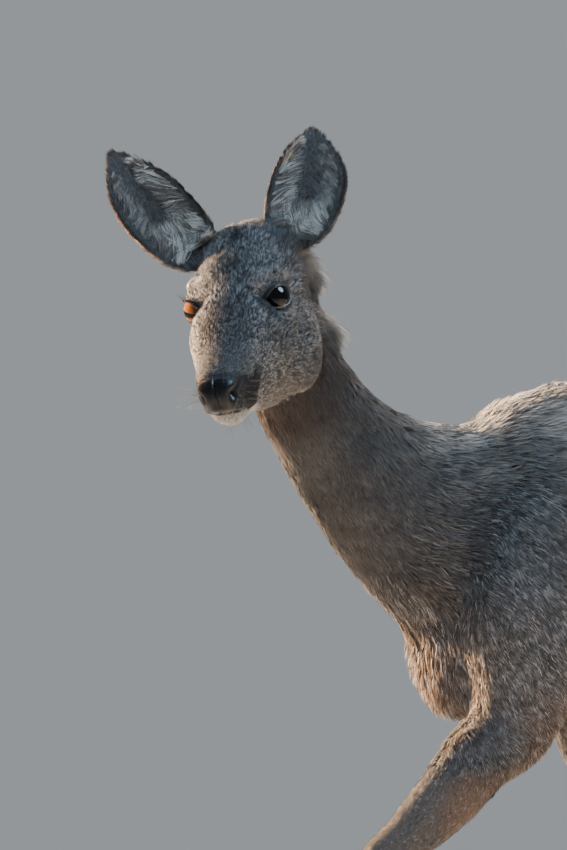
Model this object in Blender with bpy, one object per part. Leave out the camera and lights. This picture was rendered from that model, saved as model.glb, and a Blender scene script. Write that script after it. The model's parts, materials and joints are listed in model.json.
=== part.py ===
"""A roe deer doe in winter coat, life size, in mid stride and looking round to its left.

The deer faces -X with its left side towards -Y and +Z up.  The flesh is modelled whole from
lofted masses, melted into one surface, and then parted by thin flat cuts where a person would
name its parts.  Eyes, claws and dewclaws are solids of their own.  All sizes are metres and
run out to the tips of the coat.
"""

from math import cos, pi, radians, sin

import bmesh
import bpy
import numpy as np
from mathutils import Matrix, Vector

# ---------------------------------------------------------------------------------------------
# Driving sizes

GAP = 0.0004                    # clearance between pieces that touch
CUT = 0.0007                    # thickness of the thin cuts that part the flesh

LEFT = -1                       # the deer's left side lies towards -Y
RIGHT = 1

# Trunk: place along X, height of back, height of belly, half width, level of the widest place
# (0 belly to 1 back) and squareness of the section.
TRUNK = (
    ("breast tip", -0.144, 0.485, 0.402, 0.026, 0.50, 2.0),
    ("breast", -0.126, 0.552, 0.370, 0.056, 0.52, 2.1),
    ("point of shoulder", -0.092, 0.628, 0.364, 0.077, 0.50, 2.1),
    ("fore withers", -0.040, 0.658, 0.371, 0.088, 0.42, 2.0),
    ("withers", 0.005, 0.669, 0.378, 0.093, 0.40, 2.0),
    ("behind shoulder", 0.070, 0.666, 0.381, 0.101, 0.42, 2.0),
    ("ribs", 0.150, 0.657, 0.384, 0.108, 0.45, 2.1),
    ("last rib", 0.225, 0.657, 0.393, 0.108, 0.47, 2.1),
    ("loin", 0.300, 0.667, 0.414, 0.098, 0.50, 2.1),
    ("hip", 0.370, 0.676, 0.444, 0.089, 0.55, 2.1),
    ("croup", 0.430, 0.663, 0.470, 0.080, 0.55, 2.0),
    ("tail root", 0.478, 0.628, 0.492, 0.060, 0.50, 2.0),
    ("rump", 0.503, 0.585, 0.520, 0.030, 0.50, 2.0),
)

# Neck: point on its middle line, half depth in the plane of its bend, half width.
NECK = (
    ("root", (-0.020, 0.000, 0.520), 0.118, 0.074),
    ("base", (-0.088, 0.000, 0.528), 0.108, 0.070),
    ("low", (-0.138, -0.004, 0.545), 0.091, 0.061),
    ("lower middle", (-0.183, -0.011, 0.568), 0.076, 0.053),
    ("middle", (-0.224, -0.024, 0.597), 0.063, 0.047),
    ("upper middle", (-0.261, -0.040, 0.632), 0.055, 0.043),
    ("throat", (-0.293, -0.055, 0.672), 0.051, 0.041),
    ("nape", (-0.318, -0.068, 0.713), 0.050, 0.040),
    ("poll", (-0.332, -0.074, 0.748), 0.040, 0.036),
)

# Head: its own axes run forward to the nose, left, and up.  The origin lies midway between
# the eyes.
HEAD_ORIGIN = Vector((-0.3753, -0.120, 0.7345))
HEAD_TURN = radians(52.4)       # turned to the left of the trunk's direction
HEAD_DROP = radians(34.1)       # nose below the horizon
HEAD_TILT = radians(10.9)        # left side raised

# Place along the head, top, bottom, half width, level of the widest place, narrowing of the
# lower half, squareness.
SKULL = (
    ("occiput", -0.104, 0.004, -0.056, 0.026, -0.012, 0.10, 2.0),
    ("poll", -0.092, 0.021, -0.078, 0.037, -0.014, 0.10, 2.1),
    ("crown", -0.070, 0.0335, -0.096, 0.0435, -0.018, 0.12, 2.3),
    ("jaw angle", -0.042, 0.0370, -0.110, 0.0470, -0.024, 0.10, 2.3),
    ("temples", -0.016, 0.0350, -0.110, 0.0475, -0.024, 0.13, 2.3),
    ("brows", 0.004, 0.0310, -0.106, 0.0472, -0.022, 0.18, 2.3),
    ("lower lids", 0.024, 0.0245, -0.099, 0.0470, -0.024, 0.22, 2.3),
    ("cheeks", 0.044, 0.0180, -0.089, 0.0425, -0.026, 0.25, 2.3),
    ("bridge", 0.064, 0.0125, -0.0770, 0.0350, -0.025, 0.26, 2.4),
    ("muzzle", 0.084, 0.0075, -0.0665, 0.0285, -0.024, 0.24, 2.5),
    ("nostrils", 0.102, 0.0040, -0.0605, 0.0248, -0.021, 0.24, 2.6),
    ("lips", 0.116, 0.0000, -0.0565, 0.0220, -0.021, 0.24, 2.5),
    ("nose front", 0.1250, -0.0050, -0.0480, 0.0178, -0.020, 0.20, 2.4),
    ("nose tip", 0.1300, -0.0120, -0.0320, 0.0100, -0.021, 0.0, 2.2),
)

EYE_RADIUS = 0.0135
EYE_FORWARD = 0.006             # centre of the eyeball ahead of the head's origin
EYE_OUT = 0.0345                # and out from the middle plane
EYE_LOOK = Vector((0.60, 0.79, 0.06))   # way the left eye faces, along the head's axes
SOCKET = (0.0155, 0.0190, 0.0118)       # half sizes of the hollow: deep, long, high
SOCKET_OUT = 0.0195             # its middle in front of the eyeball's
SOCKET_AFT = 0.0045             # and towards the ear

EAR_LENGTH = 0.1284
EAR_INNER = 0.0224              # half width towards the crown
EAR_OUTER = 0.0439              # half width away from it
EAR_CUP = 0.0170                # how far the edges stand in front of the middle
EAR_THICK = 0.0060
EAR_BASE = 0.76                 # width at the root as a share of the widest
EAR_CUT = 0.042                 # how far up the ear its parting cut lies
EAR_ROOT = Vector((-0.0566, 0.0331, 0.0119))
EAR_MOUND = (0.0200, 0.0150, 0.0150)    # half sizes of the fleshy root of the ear
EAR_MOUND_BACK = 0.005
# Direction from root to tip and direction the cup opens, both along the head's axes.
EAR_POSES = {
    LEFT: (Vector((-0.915, 0.157, 0.373)), Vector((0.404, 0.357, 0.842))),
    RIGHT: (Vector((-0.392, -0.538, 0.746)), Vector((0.517, 0.542, 0.662))),
}

# Legs: joints in the side plane as (x, z), and the distance of the foot from the middle plane.
FETLOCK_HEIGHT = 0.060
PASTERN_REACH = 0.026           # coronet ahead of the fetlock
HOOF_LENGTH = 0.041
HOOF_HEIGHT = 0.027
HOOF_WIDTH = 0.0155
HOOF_APART = 0.0185             # between the middles of the two claws of a foot

FORE_LEGS = {
    LEFT: dict(blade=(-0.006, 0.610), shoulder=(-0.094, 0.478), elbow=(-0.0845, 0.372),
               knee=(-0.2150, 0.241), fetlock=(-0.1880, FETLOCK_HEIGHT), out=0.073, foot=0.060),
    RIGHT: dict(blade=(0.022, 0.612), shoulder=(-0.036, 0.482), elbow=(0.0400, 0.380),
                knee=(0.1240, 0.214), fetlock=(0.2100, FETLOCK_HEIGHT), out=0.071, foot=0.056),
}
HIND_LEGS = {
    LEFT: dict(hip=(0.386, 0.590), stifle=(0.330, 0.436), hock=(0.458, 0.270),
               fetlock=(0.402, FETLOCK_HEIGHT), out=0.068, foot=0.060),
    RIGHT: dict(hip=(0.394, 0.592), stifle=(0.408, 0.432), hock=(0.552, 0.272),
                fetlock=(0.612, FETLOCK_HEIGHT), out=0.067, foot=0.058),
}

# Form of a foreleg: the bone it lies on, how far down it, half size fore and aft, half size
# across, and how far its middle is set back from the bone.
FORE_FORM = (
    ("blade top", "blade", 0.00, 0.046, 0.018, 0.004),
    ("blade middle", "blade", 0.50, 0.058, 0.030, 0.006),
    ("point of shoulder", "arm", 0.00, 0.052, 0.036, 0.012),
    ("upper arm", "arm", 0.55, 0.054, 0.036, 0.018),
    ("elbow", "forearm", 0.04, 0.0400, 0.0300, 0.008),
    ("top of forearm", "forearm", 0.26, 0.0350, 0.0270, 0.004),
    ("middle of forearm", "forearm", 0.52, 0.0325, 0.0240, 0.007),
    ("foot of forearm", "forearm", 0.82, 0.0248, 0.0196, 0.004),
    ("knee", "forearm", 0.99, 0.0218, 0.0196, 0.001),
    ("under the knee", "cannon", 0.14, 0.0160, 0.0150, 0.001),
    ("middle of cannon", "cannon", 0.48, 0.0128, 0.0118, 0.001),
    ("foot of cannon", "cannon", 0.82, 0.0132, 0.0125, 0.001),
    ("fetlock", "cannon", 1.00, 0.0168, 0.0160, 0.002),
    ("pastern", "pastern", 0.50, 0.0138, 0.0158, 0.000),
    ("coronet", "pastern", 0.98, 0.0150, 0.0170, 0.001),
)
HIND_FORM = (
    ("top of thigh", "thigh", 0.00, 0.070, 0.030, 0.000),
    ("middle of thigh", "thigh", 0.42, 0.086, 0.040, 0.012),
    ("stifle", "thigh", 0.90, 0.066, 0.040, 0.020),
    ("top of gaskin", "gaskin", 0.26, 0.0480, 0.0330, 0.004),
    ("middle of gaskin", "gaskin", 0.52, 0.0310, 0.0240, 0.002),
    ("foot of gaskin", "gaskin", 0.80, 0.0215, 0.0172, 0.003),
    ("hock", "gaskin", 0.99, 0.0228, 0.0180, 0.003),
    ("under the hock", "cannon", 0.15, 0.0178, 0.0158, 0.002),
    ("middle of cannon", "cannon", 0.50, 0.0138, 0.0128, 0.001),
    ("foot of cannon", "cannon", 0.84, 0.0138, 0.0130, 0.001),
    ("fetlock", "cannon", 1.00, 0.0172, 0.0162, 0.002),
    ("pastern", "pastern", 0.50, 0.0138, 0.0158, 0.000),
    ("coronet", "pastern", 0.98, 0.0150, 0.0170, 0.001),
)

TAIL_ROOT = Vector((0.487, 0.0, 0.610))
TAIL_SIZE = (0.012, 0.013, 0.026)
TUSH_PLACE = Vector((0.498, 0.0, 0.492))        # tuft of long hair under the vent
TUSH_SIZE = (0.020, 0.019, 0.034)

MELT_BODY = 0.0080              # voxel that melts the big masses together
MELT_FINE = 0.0032              # voxel of the whole flesh
RING_POINTS = 28
DETAIL = {"head": 0.0306, "body": 0.0152}        # share of the melted faces that is kept

# ---------------------------------------------------------------------------------------------
# Small tools


def clear_scene():
    """Remove every object of the open scene."""
    for obj in list(bpy.data.objects):
        bpy.data.objects.remove(obj, do_unlink=True)


def material(name, colour, roughness, metallic=0.0):
    """A plain Principled material."""
    made = bpy.data.materials.new(name)
    made.use_nodes = True
    shader = made.node_tree.nodes["Principled BSDF"]
    shader.inputs["Base Color"].default_value = (*colour, 1.0)
    shader.inputs["Roughness"].default_value = roughness
    shader.inputs["Metallic"].default_value = metallic
    made.diffuse_color = (*colour, 1.0)
    return made


def link(name, mesh):
    """Put a mesh into the scene as an object."""
    obj = bpy.data.objects.new(name, mesh)
    bpy.context.collection.objects.link(obj)
    return obj


def object_from_bmesh(name, shape):
    """Turn a bmesh into an object with outward faces."""
    bmesh.ops.recalc_face_normals(shape, faces=shape.faces)
    mesh = bpy.data.meshes.new(name)
    shape.to_mesh(mesh)
    shape.free()
    return link(name, mesh)


def apply_modifiers(obj):
    """Replace the object's mesh by what its modifiers make of it."""
    graph = bpy.context.evaluated_depsgraph_get()
    made = bpy.data.meshes.new_from_object(obj.evaluated_get(graph))
    old = obj.data
    obj.modifiers.clear()
    obj.data = made
    bpy.data.meshes.remove(old)


def remove(obj):
    """Remove an object that has done its work."""
    bpy.data.objects.remove(obj, do_unlink=True)


def bridge(name, rings):
    """Skin a row of closed rings of points and cap both ends."""
    shape = bmesh.new()
    rows = [[shape.verts.new(point) for point in ring] for ring in rings]
    for row, following in zip(rows, rows[1:]):
        for i in range(len(row)):
            j = (i + 1) % len(row)
            shape.faces.new((row[i], row[j], following[j], following[i]))
    shape.faces.new(reversed(rows[0]))
    shape.faces.new(rows[-1])
    return object_from_bmesh(name, shape)


def ellipsoid(name, centre, half_sizes, turn=None, segments=24):
    """A sphere stretched to three half sizes, turned and moved to its place."""
    shape = bmesh.new()
    bmesh.ops.create_uvsphere(shape, u_segments=segments, v_segments=segments // 2, radius=1.0)
    matrix = Matrix.Diagonal((*half_sizes, 1.0))
    if turn is not None:
        matrix = turn.to_4x4() @ matrix
    bmesh.ops.transform(shape, matrix=Matrix.Translation(centre) @ matrix, verts=shape.verts)
    return object_from_bmesh(name, shape)


def smooth_table(keys, values, samples):
    """Sample a smooth curve through rows of values: cubic pieces with shared slopes."""
    keys = np.asarray(keys, float)
    values = np.asarray(values, float)
    slopes = np.gradient(values, keys, axis=0)
    row = np.clip(np.searchsorted(keys, samples, side="right") - 1, 0, len(keys) - 2)
    width = (keys[row + 1] - keys[row])[:, None]
    t = (samples - keys[row])[:, None] / width
    before = (1 + 2 * t) * (1 - t) ** 2 * values[row] + t * (1 - t) ** 2 * width * slopes[row]
    after = t * t * (3 - 2 * t) * values[row + 1] + t * t * (t - 1) * width * slopes[row + 1]
    return before + after


def rounded(power, value):
    """Signed power that squares off a circle's sine or cosine."""
    return np.sign(value) * np.abs(value) ** (2.0 / power)


def tube(name, centres, sides, ups, half_sides, half_ups, power=2.1):
    """Loft ellipse-like sections along a middle line."""
    angle = np.linspace(0, 2 * pi, RING_POINTS, endpoint=False)
    across = rounded(power, np.cos(angle))
    along = rounded(power, np.sin(angle))
    rings = []
    for centre, side, up, half_side, half_up in zip(centres, sides, ups, half_sides, half_ups):
        ring = centre + np.outer(across * half_side, side) + np.outer(along * half_up, up)
        rings.append(ring)
    return bridge(name, rings)


def unit(vector):
    """The vector at length one."""
    vector = np.asarray(vector, float)
    return vector / np.linalg.norm(vector)


def add_boolean(obj, other, operation):
    """Join an object to another, or take the other's space out of it."""
    modifier = obj.modifiers.new(operation.title(), "BOOLEAN")
    modifier.operation = operation
    modifier.object = other
    modifier.solver = "EXACT"


def cut_away(obj, cutter):
    """Take a cutter's space out of an object, and the cutter with it."""
    add_boolean(obj, cutter, "DIFFERENCE")
    apply_modifiers(obj)
    remove(cutter)


def join(name, objects):
    """One mesh that holds the faces of several objects."""
    shape = bmesh.new()
    for obj in objects:
        shape.from_mesh(obj.data)
    for obj in objects:
        remove(obj)
    mesh = bpy.data.meshes.new(name)
    shape.to_mesh(mesh)
    shape.free()
    return link(name, mesh)


def melt(obj, voxel, rounds):
    """Melt overlapping masses into one skin and soften the folds between them."""
    remesh = obj.modifiers.new("Melt", "REMESH")
    remesh.mode = "VOXEL"
    remesh.voxel_size = voxel
    soften = obj.modifiers.new("Soften", "SMOOTH")
    soften.factor = 0.5
    soften.iterations = rounds
    apply_modifiers(obj)


# ---------------------------------------------------------------------------------------------
# The head's own frame


def head_matrix():
    """Matrix from the head's axes (forward, left, up) to the deer's."""
    forward = Vector((-cos(HEAD_DROP) * cos(HEAD_TURN), -cos(HEAD_DROP) * sin(HEAD_TURN),
                      -sin(HEAD_DROP)))
    level = Vector((sin(HEAD_TURN), -cos(HEAD_TURN), 0.0))
    plumb = forward.cross(level)
    left = level * cos(HEAD_TILT) + plumb * sin(HEAD_TILT)
    up = forward.cross(left)
    turn = Matrix((forward, left, up)).transposed()
    return Matrix.Translation(HEAD_ORIGIN) @ turn.to_4x4()


def in_head(points):
    """Carry points from the head's frame to the deer's."""
    matrix = head_matrix()
    return [matrix @ Vector(point) for point in points]


# ---------------------------------------------------------------------------------------------
# Masses of the flesh


def trunk_mass():
    """The barrel of the body as egg-shaped sections along X."""
    keys = [row[1] for row in TRUNK]
    places = np.linspace(keys[0], keys[-1], 44)
    table = smooth_table(keys, [row[2:] for row in TRUNK], places)
    angle = np.linspace(0, 2 * pi, RING_POINTS + 8, endpoint=False)
    rings = []
    for x, (top, bottom, half, level, power) in zip(places, table):
        widest = bottom + (top - bottom) * level
        height = rounded(power, np.sin(angle))
        reach = np.where(height > 0, top - widest, widest - bottom)
        ring = np.stack([np.full_like(angle, x), half * rounded(power, np.cos(angle)),
                         widest + reach * height], axis=1)
        rings.append(ring)
    return bridge("trunk_mass", rings)


def neck_mass():
    """The neck along its bent middle line, deep and narrow."""
    keys = np.arange(len(NECK))
    samples = np.linspace(0, len(NECK) - 1, 34)
    centres = smooth_table(keys, [row[1] for row in NECK], samples)
    sizes = smooth_table(keys, [row[2:4] for row in NECK], samples)
    heading = np.gradient(centres, axis=0)
    sides = []
    ups = []
    for direction in heading:
        direction = unit(direction)
        side = unit(np.cross(direction, (0.0, 0.0, 1.0)))
        sides.append(side)
        ups.append(np.cross(side, direction))
    return tube("neck_mass", centres, sides, ups, sizes[:, 1], sizes[:, 0], power=2.05)


def skull_mass():
    """The head from occiput to nose tip, narrow at the jaw and broad at the brows."""
    keys = [row[1] for row in SKULL]
    places = np.linspace(keys[0], keys[-1], 40)
    table = smooth_table(keys, [row[2:] for row in SKULL], places)
    angle = np.linspace(0, 2 * pi, RING_POINTS + 8, endpoint=False)
    rings = []
    for forward, (top, bottom, half, level, narrow, power) in zip(places, table):
        height = rounded(power, np.sin(angle))
        reach = np.where(height > 0, top - level, level - bottom)
        low = np.clip(-height, 0.0, 1.0)
        width = half * rounded(power, np.cos(angle)) * (1.0 - narrow * low)
        ring = np.stack([np.full_like(angle, forward), width, level + reach * height], axis=1)
        rings.append(in_head(ring))
    return bridge("skull_mass", rings)


def brow_masses():
    """Brow ridges over the eyes and cheekbones under them."""
    turn = head_matrix().to_3x3()
    masses = []
    for side in (LEFT, RIGHT):
        left = -side
        places = {
            "brow": ((-0.004, 0.0335 * left, 0.0145), (0.022, 0.0125, 0.0085)),
            "cheekbone": ((0.016, 0.0335 * left, -0.0210), (0.030, 0.0115, 0.0100)),
            "jaw_muscle": ((-0.010, 0.0310 * left, -0.0610), (0.048, 0.0200, 0.0420)),
        }
        for name, (centre, sizes) in places.items():
            masses.append(ellipsoid(name, in_head([centre])[0], sizes, turn))
    return masses


def ear_axes(side):
    """Root point, direction to the tip, way the cup opens and way to its outer edge."""
    turn = head_matrix().to_3x3()
    root = EAR_ROOT.copy()
    root.y *= -side
    along, opening = EAR_POSES[side]
    along = (turn @ along).normalized()
    opening = turn @ opening
    opening = (opening - along * opening.dot(along)).normalized()
    outer = along.cross(opening) * -side
    return head_matrix() @ root, along, opening, outer


def ear_mass(side):
    """A cupped leaf: crescent sections that widen, then close round to the tip."""
    root, along, opening, outer = ear_axes(side)
    widest = 0.42
    bend = radians(66)
    rings = []
    for t in np.linspace(0.0, 1.0, 14):
        if t < widest:
            form = EAR_BASE + (1 - EAR_BASE) * sin(pi / 2 * t / widest)
            form *= 0.66 + 0.34 * sin(pi / 2 * min(t / 0.16, 1.0))
        else:
            form = max(cos(pi / 2 * ((t - widest) / (1 - widest)) ** 1.15), 0.0) ** 0.75
        form = max(form, 0.12)
        cup = EAR_CUP * form * (1.15 - 0.55 * t)
        thick = EAR_THICK * (0.65 + 0.35 * form)
        across = np.linspace(-1, 1, 9)
        half = np.where(across > 0, EAR_OUTER, EAR_INNER) * form
        side_way = half * np.sin(across * bend) / sin(bend)
        front_way = cup * (1 - np.cos(across * bend)) / (1 - cos(bend))
        hollow = [(s, f + thick / 2) for s, f in zip(side_way, front_way)]
        back = [(s * 1.04, f - thick / 2) for s, f in zip(side_way, front_way)]
        middle = root + along * (EAR_LENGTH * t) - opening * (0.5 * EAR_CUP)
        ring = [middle + outer * s + opening * f for s, f in hollow + back[::-1]]
        rings.append(ring)
    return bridge("ear_mass", rings)


def leg_joints(leg, side):
    """Places of a leg's joints in the deer's frame, from top to coronet."""
    names = [name for name in leg if name not in ("out", "foot")]
    heights = [leg[name][1] for name in names]
    joints = []
    for name, height in zip(names, heights):
        x, z = leg[name]
        share = min((heights[0] - height) / (heights[0] - FETLOCK_HEIGHT), 1.0)
        spread = leg["out"] + (leg["foot"] - leg["out"]) * share
        inset = 0.030 if name in ("blade", "hip") else 0.0
        joints.append(Vector((x, side * (spread - inset), z)))
    fetlock = joints[-1]
    coronet = fetlock + Vector((-PASTERN_REACH, 0.0, HOOF_HEIGHT * 0.92 - fetlock.z))
    return joints + [coronet]


def leg_mass(name, leg, form, bones, side):
    """One leg as sections set along its bones."""
    joints = leg_joints(leg, side)
    centres = []
    half_ups = []
    half_sides = []
    for _, bone, share, half_fore, half_across, back in form:
        index = bones.index(bone)
        start = joints[index]
        end = joints[index + 1]
        rearward = Vector((-(end - start).z, 0.0, (end - start).x)).normalized()
        if rearward.x < 0:
            rearward = -rearward
        centres.append(start.lerp(end, share) + rearward * back)
        half_ups.append(half_fore)
        half_sides.append(half_across)
    keys = np.arange(len(centres))
    samples = np.linspace(0, len(centres) - 1, 4 * len(centres))
    path = smooth_table(keys, centres, samples)
    sizes = smooth_table(keys, list(zip(half_ups, half_sides)), samples)
    heading = np.gradient(path, axis=0)
    sides = []
    ups = []
    for direction in heading:
        direction = unit(direction)
        up = unit(np.cross(direction, (0.0, 1.0, 0.0)))
        ups.append(up)
        sides.append(np.cross(up, direction))
    return tube(name, path, sides, ups, sizes[:, 1], sizes[:, 0], power=2.1)


FORE_BONES = ("blade", "arm", "forearm", "cannon", "pastern")
HIND_BONES = ("thigh", "gaskin", "cannon", "pastern")


def leg_masses():
    """All four legs, and the points of elbow and hock."""
    masses = []
    for side in (LEFT, RIGHT):
        masses.append(leg_mass("fore_mass", FORE_LEGS[side], FORE_FORM, FORE_BONES, side))
        masses.append(leg_mass("hind_mass", HIND_LEGS[side], HIND_FORM, HIND_BONES, side))
        elbow = leg_joints(FORE_LEGS[side], side)[2]
        hock = leg_joints(HIND_LEGS[side], side)[2]
        masses.append(ellipsoid("elbow_point", elbow + Vector((0.026, 0, 0.012)),
                                (0.020, 0.016, 0.020)))
        masses.append(ellipsoid("hock_point", hock + Vector((0.013, 0, 0.010)),
                                (0.013, 0.0125, 0.018)))
    return masses


def copy_of(obj):
    """A second object with its own copy of the mesh."""
    return link(obj.name + "_copy", obj.data.copy())


def whole_flesh():
    """Head, ears, neck, trunk, tail and legs melted into one surface."""
    neck = neck_mass()
    trunk = trunk_mass()
    tush = ellipsoid("tush", TUSH_PLACE, TUSH_SIZE, Matrix.Rotation(radians(-14), 3, "Y"))
    legs = leg_masses()
    big = join("big_masses", [neck, trunk, tush] + [copy_of(leg) for leg in legs])
    melt(big, MELT_BODY, 14)
    skull = [skull_mass()] + brow_masses()
    turn = head_matrix().to_3x3()
    mounds = []
    for side in (LEFT, RIGHT):
        root, _, opening, _ = ear_axes(side)
        mounds.append(ellipsoid("ear_mound", root - opening * EAR_MOUND_BACK, EAR_MOUND, turn))
    head = join("head_masses", skull + mounds)
    melt(head, MELT_FINE, 6)
    tail = ellipsoid("tail_mass", TAIL_ROOT, TAIL_SIZE, Matrix.Rotation(radians(-24), 3, "Y"))
    flesh = join("flesh", [big, head, tail] + legs)
    melt(flesh, MELT_FINE, 3)
    for side in (LEFT, RIGHT):
        look = EYE_LOOK.normalized()
        look.y *= -side
        level = Vector((-look.y, look.x, 0.0)).normalized()
        axes = Matrix((look, level, look.cross(level))).transposed()
        place = Vector((EYE_FORWARD - SOCKET_AFT, EYE_OUT * -side, 0.0)) + look * SOCKET_OUT
        cut_away(flesh, ellipsoid("socket", in_head([place])[0], SOCKET, turn @ axes))
    soften = flesh.modifiers.new("Soften", "SMOOTH")
    soften.factor = 0.5
    soften.iterations = 2
    apply_modifiers(flesh)
    return flesh


# ---------------------------------------------------------------------------------------------
# Pieces of their own


def eye(side):
    """An eyeball in its socket."""
    place = in_head([(EYE_FORWARD, EYE_OUT * -side, 0.0)])[0]
    return place, EYE_RADIUS


def claw_rings(length, width, height, toe_lean):
    """Rings of a claw from its flat sole to the coronet, toe towards -X."""
    angle = np.linspace(0, 2 * pi, 10, endpoint=False)
    rings = []
    for share in (0.0, 0.10, 1.0):
        grow = (1.0 - 0.36 * share) * (0.90 if share == 0.0 else 1.0)
        point = np.clip(-np.cos(angle), 0.0, 1.0)
        half_width = 0.5 * width * (1.0 - 0.12 * share) * (0.90 if share == 0.0 else 1.0)
        along = 0.5 * length * grow * np.cos(angle) + toe_lean * height * share
        across = half_width * np.sin(angle) * (1.0 - 0.45 * point ** 2)
        rings.append(np.stack([along, across, np.full_like(angle, height * share)], axis=1))
    return rings


def hoof(name, foot, side, inner):
    """One main claw, its sole flat on the floor."""
    lateral = side * (-1 if inner else 1)
    middle = Vector((foot.x - 0.006, foot.y + lateral * HOOF_APART / 2, 0.0))
    splay = Matrix.Rotation(radians(4.0) * lateral, 4, "Z")
    rings = claw_rings(HOOF_LENGTH, HOOF_WIDTH, HOOF_HEIGHT, 0.30)
    rings = [[middle + (splay @ Vector(point)) for point in ring] for ring in rings]
    return bridge(name, rings)


def dewclaw(name, fetlock, side, inner):
    """A small claw at the back of the pastern."""
    lateral = side * (-1 if inner else 1)
    place = fetlock + Vector((0.0085, lateral * 0.0085, -0.0150))
    turn = Matrix.Rotation(radians(28), 3, "Y")
    return ellipsoid(name, place, (0.0062, 0.0052, 0.0100), turn, segments=8)


def grown_copy(obj, amount):
    """A copy pushed out along its normals, to cut a clearance."""
    other = copy_of(obj)
    shape = bmesh.new()
    shape.from_mesh(other.data)
    shape.normal_update()
    for vert in shape.verts:
        vert.co += vert.normal * vert.calc_shell_factor() * amount
    shape.to_mesh(other.data)
    shape.free()
    return other


# ---------------------------------------------------------------------------------------------
# Parting the flesh


def slab(place, normal, reach, width):
    """A thin oval plate across the flesh, its width measured sideways and its reach up or aft."""
    shape = bmesh.new()
    bmesh.ops.create_cone(shape, cap_ends=True, segments=20, radius1=1.0, radius2=1.0, depth=CUT)
    normal = Vector(normal).normalized()
    along = normal.cross(Vector((0.0, 1.0, 0.0))).normalized()
    sideways = along.cross(normal)
    axes = Matrix((sideways, along, sideways.cross(along))).transposed().to_4x4()
    sizes = Matrix.Diagonal((width, reach, 1.0, 1.0))
    bmesh.ops.transform(shape, matrix=Matrix.Translation(place) @ axes @ sizes, verts=shape.verts)
    cutter = object_from_bmesh("cut", shape)
    cutter.hide_render = True
    cutter.display_type = "WIRE"
    return cutter


def box_between(low, high, matrix):
    """A box given by two corners in a frame of its own."""
    shape = bmesh.new()
    bmesh.ops.create_cube(shape, size=1.0)
    size = Vector(high) - Vector(low)
    middle = (Vector(high) + Vector(low)) / 2
    local = Matrix.Translation(middle) @ Matrix.Diagonal((*size, 1.0))
    bmesh.ops.transform(shape, matrix=matrix @ local, verts=shape.verts)
    return object_from_bmesh("box", shape)


def leg_cuts(leg, side, rows):
    """Cuts across a leg: the bone, how far down it, how level, reach fore and aft, width."""
    joints = leg_joints(leg, side)
    cuts = []
    for index, share, level, reach, width in rows:
        start = joints[index]
        end = joints[index + 1]
        down = Vector((0.0, 0.0, start.z - end.z)) * -1.0
        cuts.append(slab(start.lerp(end, share), (end - start).lerp(down, level), reach, width))
    return cuts


def neck_cut(row, reach):
    """A cut square to the neck's middle line."""
    before = Vector(NECK[row - 1][1])
    after = Vector(NECK[row + 1][1])
    return slab(Vector(NECK[row][1]), after - before, reach, reach)


def all_cuts():
    """Every thin cut through the flesh."""
    matrix = head_matrix()
    cuts = [neck_cut(3, 0.150)]
    cuts.append(slab(matrix @ Vector((-0.058, 0.0, -0.072)),
                     matrix.to_3x3() @ Vector((0.68, 0.0, 0.73)), 0.100, 0.085))
    for side in (LEFT, RIGHT):
        root, along, opening, outer = ear_axes(side)
        turn = Matrix((outer, opening, along)).transposed().to_4x4()
        low = (-EAR_INNER - 0.003, -0.5 * EAR_CUP - 0.008, 0.0)
        high = (EAR_OUTER + 0.003, EAR_CUP + 0.004, CUT)
        cuts.append(box_between(low, high, Matrix.Translation(root + along * EAR_CUT) @ turn))
        cuts += leg_cuts(FORE_LEGS[side], side, ((2, 0.16, 0.0, 0.056, 0.052),
                                                 (3, 0.07, 0.0, 0.030, 0.030),
                                                 (3, 0.90, 0.0, 0.026, 0.026)))
        cuts += leg_cuts(HIND_LEGS[side], side, ((1, 0.30, 0.7, 0.110, 0.058),
                                                 (2, 0.09, 0.0, 0.036, 0.036),
                                                 (2, 0.91, 0.0, 0.026, 0.026)))
    cuts.append(slab(TAIL_ROOT + Vector((0.0035, 0.0, -0.002)), Vector((1.0, 0.0, 0.36)),
                     0.034, 0.034))
    return cuts


def keep_faces(obj, share):
    """Thin the mesh out where it is flat."""
    thin = obj.modifiers.new("Thin", "DECIMATE")
    thin.ratio = share
    apply_modifiers(obj)


def islands(obj):
    """Lists of the vertices that hang together."""
    shape = bmesh.new()
    shape.from_mesh(obj.data)
    shape.verts.ensure_lookup_table()
    seen = set()
    groups = []
    for vert in shape.verts:
        if vert.index in seen:
            continue
        seen.add(vert.index)
        stack = [vert]
        group = []
        while stack:
            here = stack.pop()
            group.append(here.index)
            for edge in here.link_edges:
                other = edge.other_vert(here)
                if other.index not in seen:
                    seen.add(other.index)
                    stack.append(other)
        groups.append(group)
    shape.free()
    return groups


def island_object(obj, group, name):
    """A new object that holds one island of another."""
    wanted = set(group)
    shape = bmesh.new()
    shape.from_mesh(obj.data)
    shape.verts.ensure_lookup_table()
    extra = [vert for vert in shape.verts if vert.index not in wanted]
    bmesh.ops.delete(shape, geom=extra, context="VERTS")
    mesh = bpy.data.meshes.new(name)
    shape.to_mesh(mesh)
    shape.free()
    return link(name, mesh)


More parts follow.
